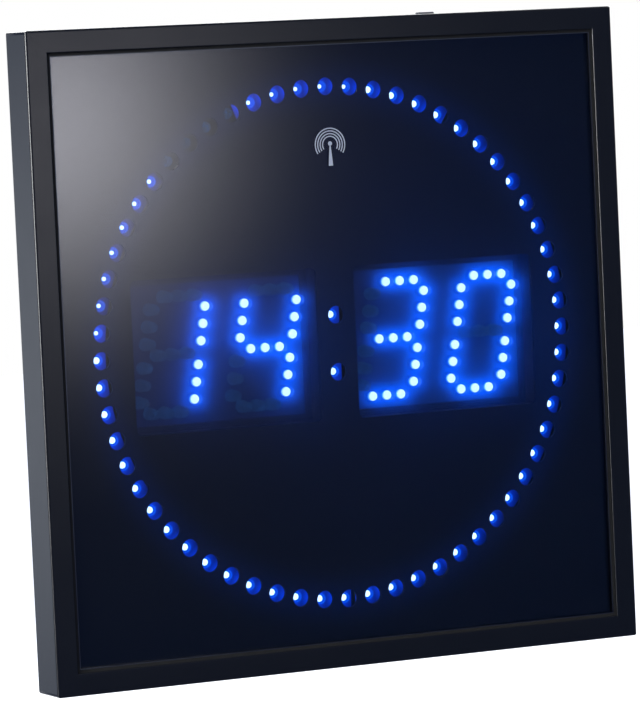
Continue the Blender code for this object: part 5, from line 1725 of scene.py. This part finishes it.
    def world(self) -> None:
        """Set the world: white to the camera and behind the clock, dim in front of it."""
        world = bpy.context.scene.world or bpy.data.worlds.new("world")
        bpy.context.scene.world = world
        world.use_nodes = True
        graph = Graph(world.node_tree)
        sky = next(node for node in world.node_tree.nodes if node.type == "BACKGROUND")
        path = graph.node("ShaderNodeLightPath")
        parts = graph.node("ShaderNodeSeparateXYZ",
                           inputs={0: graph.node("ShaderNodeTexCoord").outputs["Generated"]})
        behind = Value(graph, parts.outputs[1]).rise(*self.behind_ramp)
        right = Value(graph, parts.outputs[0]).rise(*self.right_ramp)
        strip = (Value(graph, parts.outputs[2]) - self.side_level).bell(self.side_glow)
        left = (1.0 - right) * (1.0 - (strip * (1.0 - self.side_dim) + self.side_dim))
        behind = behind * (1.0 - left)
        white = (1.0, 1.0, 1.0)
        mirrored = graph.mix(behind, self.room_front, graph.mix(right, self.side_tint, white))
        bounced = graph.mix(Value(graph, path.outputs["Is Diffuse Ray"]), mirrored, self.room_soft)
        seen = graph.mix(Value(graph, path.outputs["Is Camera Ray"]), bounced, white)
        graph.feed(sky.inputs["Color"], seen)

    def build(self) -> None:
        """Set up the whole studio."""
        bpy.context.scene.view_settings.view_transform = "Standard"
        self.camera()
        self.floor()
        self.world()
        self.reflection()
        self.edge_card()
        for name, lamp in self.lamps.items():
            self.lamp(name, *lamp)


@dataclass
class Back(Builder):
    """Cover with its vents, screws, keyhole plates and battery door."""

    thickness: float = 2.0 * MM
    half: float = 143.1 * MM
    edge: float = 0.25 * MM
    vent_count: int = 9
    vent_pitch: float = 8.0 * MM
    vent_length: float = 20.0 * MM
    vent_width: float = 2.4 * MM
    vent_rise: float = 104.0 * MM
    vent_steps: int = 8
    screw_place: float = 138.9 * MM
    screw_head: float = 2.7 * MM
    screw_radius: float = 1.5 * MM
    screw_recess: float = 0.1 * MM
    screw_head_height: float = 1.2 * MM
    fit: float = 0.3 * MM
    keyhole_x: float = 60.0 * MM
    keyhole_y: float = 70.0 * MM
    keyhole_rise: float = 10.0 * MM
    keyhole_head: float = 4.5 * MM
    keyhole_slot: float = 2.3 * MM
    keyhole_opening: Point = (7.0 * MM, 12.0 * MM)
    keyhole_plate: Point = (10.5 * MM, 15.5 * MM)
    keyhole_corner: float = 2.5 * MM
    plate_thickness: float = 1.2 * MM
    plate_edge: float = 0.15 * MM
    cover_corner: float = 1.0 * MM
    button_hole: float = 3.8 * MM
    button_hole_sides: int = 48
    screw_hole_sides: int = 40
    screw_sides: int = 32
    keyhole_steps: int = 36
    slot_steps: int = 16
    slider_travel: float = 2.0 * MM
    slider_corner: float = 0.3 * MM
    door_corner: float = 3.0 * MM
    screw_length: float = 7.0 * MM
    screw_rim: float = 0.25 * MM
    screw_edge: float = 0.2 * MM
    cross_reach: float = 1.6 * MM
    cross_half: float = 0.3 * MM
    cross_depth: float = 1.0 * MM
    grip_drop: float = 5.5 * MM
    grip_rows: int = 3
    grip_pitch: float = 1.1 * MM
    grip_half_length: float = 6.0 * MM
    grip_half_width: float = 0.3 * MM
    grip_depth: float = 0.7 * MM

    def vents(self) -> list[list[Point]]:
        """Return the outlines of both rows of vents."""
        outlines = []
        reach = self.vent_length / 2 - self.vent_width / 2
        for rise in (-self.vent_rise, self.vent_rise):
            for index in range(self.vent_count):
                x = (index - (self.vent_count - 1) / 2) * self.vent_pitch
                top = arc((x, rise + reach), self.vent_width / 2, 0.0, 180.0,
                          self.vent_steps)
                bottom = arc((x, rise - reach), self.vent_width / 2, 180.0, 360.0,
                             self.vent_steps)
                outlines.append(top + bottom)
        return outlines

    @staticmethod
    def outline_of(node: str, across: float, up: float, corner: float) -> list[Point]:
        """Return the outline of a node's box on the dial, made larger.

        Args:
            node: The node.
            across: How much is added at either side.
            up: How much is added above and below.
            corner: The radius of the outline's corners.

        Returns:
            The outline's points.
        """
        low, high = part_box(node)
        centre = ((low.x + high.x) / 2, (low.z + high.z) / 2)
        return rounded_rectangle(centre, (high.x - low.x) / 2 + across,
                                 (high.z - low.z) / 2 + up, corner)

    def cover_mesh(self) -> bpy.types.Mesh:
        """Return the moulded cover with all its openings."""
        outlines = [rounded_rectangle((0.0, 0.0), self.half, self.half, self.cover_corner)]
        for name in ("set", "plus", "minus"):
            low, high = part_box(f"{name}_button_cap")
            outlines.append(circle(((low.x + high.x) / 2, (low.z + high.z) / 2),
                                   self.button_hole, self.button_hole_sides))
        outlines.append(self.outline_of("brightness_knob", self.slider_travel + self.fit, self.fit,
                                        self.slider_corner))
        outlines.append(self.outline_of("battery_door", self.fit, self.fit, self.door_corner))
        for side in (-1, 1):
            middle = (side * self.keyhole_x, self.keyhole_y + self.keyhole_rise / 2)
            outlines.append(rounded_rectangle(middle, *self.keyhole_opening, self.keyhole_corner))
            for up in (-1, 1):
                outlines.append(circle((side * self.screw_place, up * self.screw_place),
                                       self.screw_head + self.fit, self.screw_hole_sides))
        return plate_mesh(outlines + self.vents(), 0.0, self.thickness, self.edge)

    def screw_mesh(self) -> bpy.types.Mesh:
        """Return a countersunk screw with a cross recess, about its head's middle."""
        end = self.screw_recess + self.screw_head_height
        profile = [(0.0, self.screw_length), (self.screw_radius, self.screw_length),
                   (self.screw_radius, end), (self.screw_head, self.screw_recess + self.screw_rim),
                   (self.screw_head - self.screw_edge, self.screw_recess),
                   (0.0, self.screw_recess)]
        reach = self.cross_reach
        half = self.cross_half
        deep = self.cross_depth
        bars = [box_mesh((-reach, -half, -deep), (reach, half, deep)),
                box_mesh((-half, -reach, -deep), (half, reach, deep))]
        return cut_mesh(turned_mesh(profile, self.screw_sides, dial_matrix()), bars)

    def keyhole_mesh(self, side: int) -> bpy.types.Mesh:
        """Return one keyhole plate."""
        x = side * self.keyhole_x
        shoulder = math.degrees(math.asin(self.keyhole_slot / self.keyhole_head))
        head = arc((x, self.keyhole_y), self.keyhole_head, 90.0 + shoulder, 450.0 - shoulder,
                   self.keyhole_steps)
        slot = arc((x, self.keyhole_y + self.keyhole_rise), self.keyhole_slot, 0.0, 180.0,
                   self.slot_steps)
        edge = rounded_rectangle((x, self.keyhole_y + self.keyhole_rise / 2), *self.keyhole_plate,
                                 self.keyhole_corner)
        low = self.thickness + self.fit
        return plate_mesh([edge, head + slot], low, low + self.plate_thickness, self.plate_edge)

    def door_mesh(self) -> bpy.types.Mesh:
        """Return the battery door with its finger grip."""
        plate = plate_mesh([self.outline_of("battery_door", 0.0, 0.0, self.door_corner)], 0.0,
                           self.thickness, self.edge)
        low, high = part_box("battery_door")
        middle = (low.x + high.x) / 2
        grooves = []
        for row in range(self.grip_rows):
            y = high.z - self.grip_drop + (row - (self.grip_rows - 1) / 2) * self.grip_pitch
            grooves.append(box_mesh((middle - self.grip_half_length, y - self.grip_half_width,
                                     -self.grip_depth),
                                    (middle + self.grip_half_length, y + self.grip_half_width,
                                     self.grip_depth)))
        return cut_mesh(plate, grooves)

    def build(self) -> None:
        """Build the cover and everything set in it."""
        self.piece("cover", self.cover_mesh(), COVER_BLACK.material(), "cover", ("back_cover",))
        self.piece("battery_hatch", self.door_mesh(), COVER_BLACK.material(), "cover",
                   ("battery_door",), "battery_door")
        for side, name in ((-1, "left"), (1, "right")):
            self.piece(f"{name}_keyhole", self.keyhole_mesh(side), ZINC.material(), "steel",
                       (f"keyhole_plate_{name}",))
        corners = [(side * self.screw_place, up * self.screw_place, 0.0)
                   for side in (-1, 1) for up in (-1, 1)]
        material = NICKEL.material()
        screws = repeated("cover_screws", self.screw_mesh(), corners, material)
        nodes = tuple(f"cover_screw_{end}_{side}" for end in ("top", "bottom")
                      for side in ("left", "right"))
        self.piece("cover_screws", screws, material, "steel", nodes)


class Mark(Enum):
    """The plain mark moulded into a button."""

    DOT = "set"
    CROSS = "plus"
    BAR = "minus"


@dataclass
class Controls(Builder):
    """Control board with its switches, chips, buttons and slider."""

    cap_radius: float = 3.5 * MM
    cap_edge: float = 0.4 * MM
    cap_dish: float = 0.25 * MM
    flange_radius: float = 4.5 * MM
    stem_radius: float = 1.7 * MM
    flange_low: float = 2.3 * MM
    flange_high: float = 3.4 * MM
    mark_reach: float = 1.3 * MM
    mark_half: float = 0.25 * MM
    mark_depth: float = 0.25 * MM
    cut_above: float = 1.0 * MM
    cap_sides: int = 48
    dot_sides: int = 24
    edge_steps: int = 5
    dish_steps: int = 4

    def cap_mesh(self, mark: Mark) -> bpy.types.Mesh:
        """Return a button's cap with its mark."""
        low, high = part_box(f"{mark.value}_button_cap")
        x = (low.x + high.x) / 2
        y = (low.z + high.z) / 2
        head = -high.y
        end = -low.y
        edge = arc((self.cap_radius - self.cap_edge, head + self.cap_edge), self.cap_edge,
                   270.0, 360.0, self.edge_steps)
        rim = self.cap_radius - 2 * self.cap_edge
        shares = [step / self.dish_steps for step in range(self.dish_steps + 1)]
        dish = [(share * rim, head + self.cap_dish * (1.0 - share ** 2)) for share in shares]
        skirt = [(self.cap_radius, self.flange_low), (self.flange_radius, self.flange_low),
                 (self.flange_radius, self.flange_high), (self.stem_radius, self.flange_high),
                 (self.stem_radius, end), (0.0, end)]
        place = dial_matrix() @ Matrix.Translation((x, y, 0.0))
        cap = turned_mesh(dish + edge + skirt, self.cap_sides, place)
        deep = head + self.cap_dish + self.mark_depth
        reach = self.mark_reach
        half = self.mark_half
        front = head - self.cut_above
        across = box_mesh((x - reach, y - half, front), (x + reach, y + half, deep))
        upright = box_mesh((x - half, y - reach, front), (x + half, y + reach, deep))
        if mark is Mark.CROSS:
            return cut_mesh(cap, [across, upright])
        if mark is Mark.BAR:
            return cut_mesh(cap, [across])
        profile = [(0.0, front), (2 * half, front), (2 * half, deep), (0.0, deep)]
        return cut_mesh(cap, [turned_mesh(profile, self.dot_sides, place)])

    def build(self) -> None:
        """Build the caps, and dress the board and what it carries."""
        for mark in Mark:
            self.piece(f"{mark.value}_cap", self.cap_mesh(mark), DARK_GREY.material(), "button",
                       (f"{mark.value}_button_cap",), f"{mark.value}_button")
        self.dress(GREEN_BOARD, "control_board")
        self.dress(BLACK_MOULDING, "mcu_chip", "cell_holder", "set_switch_stem", "plus_switch_stem",
                   "minus_switch_stem")
        self.dress(NICKEL, "quartz_crystal", "brightness_switch", "coin_cell")
        self.dress(NATURAL_NYLON, "brightness_knob")


@dataclass
class Inside(Builder):
    """Power inlet, receiver, top key and wiring, which keep their CAD shapes."""

    def build(self) -> None:
        """Dress the nodes."""
        self.dress(GREEN_BOARD, "power_board", "receiver_board", "top_key_switch")
        self.dress(BLACK_MOULDING, "dc_jack", "top_key_stem")
        self.dress(DARK_GREY, "top_key_cap")
        self.dress(FERRITE, "ferrite_rod")
        self.dress(COPPER_WIRE, "aerial_winding")
        self.dress(NATURAL_NYLON, "rod_clip_left", "rod_clip_right")
        self.dress(RIBBON, "hour_ribbon", "minute_ribbon", "colon_ribbon", "ring_ribbon")
        self.dress(LEAD_BLACK, "power_lead", "receiver_lead", "top_key_lead")


def main() -> None:
    """Load the frame and build every sub-assembly."""
    logging.basicConfig(level=logging.INFO, format="%(name)s: %(message)s")
    for existing in list(bpy.data.objects):
        bpy.data.objects.remove(existing, do_unlink=True)
    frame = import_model()
    Studio().build()
    for builder in (Frame, Front, SecondsRing, Digits, Colon, Back, Controls, Inside):
        builder(frame).build()
        LOG.info("%s is built", builder.__name__)


if __name__ == "__main__":
    main()
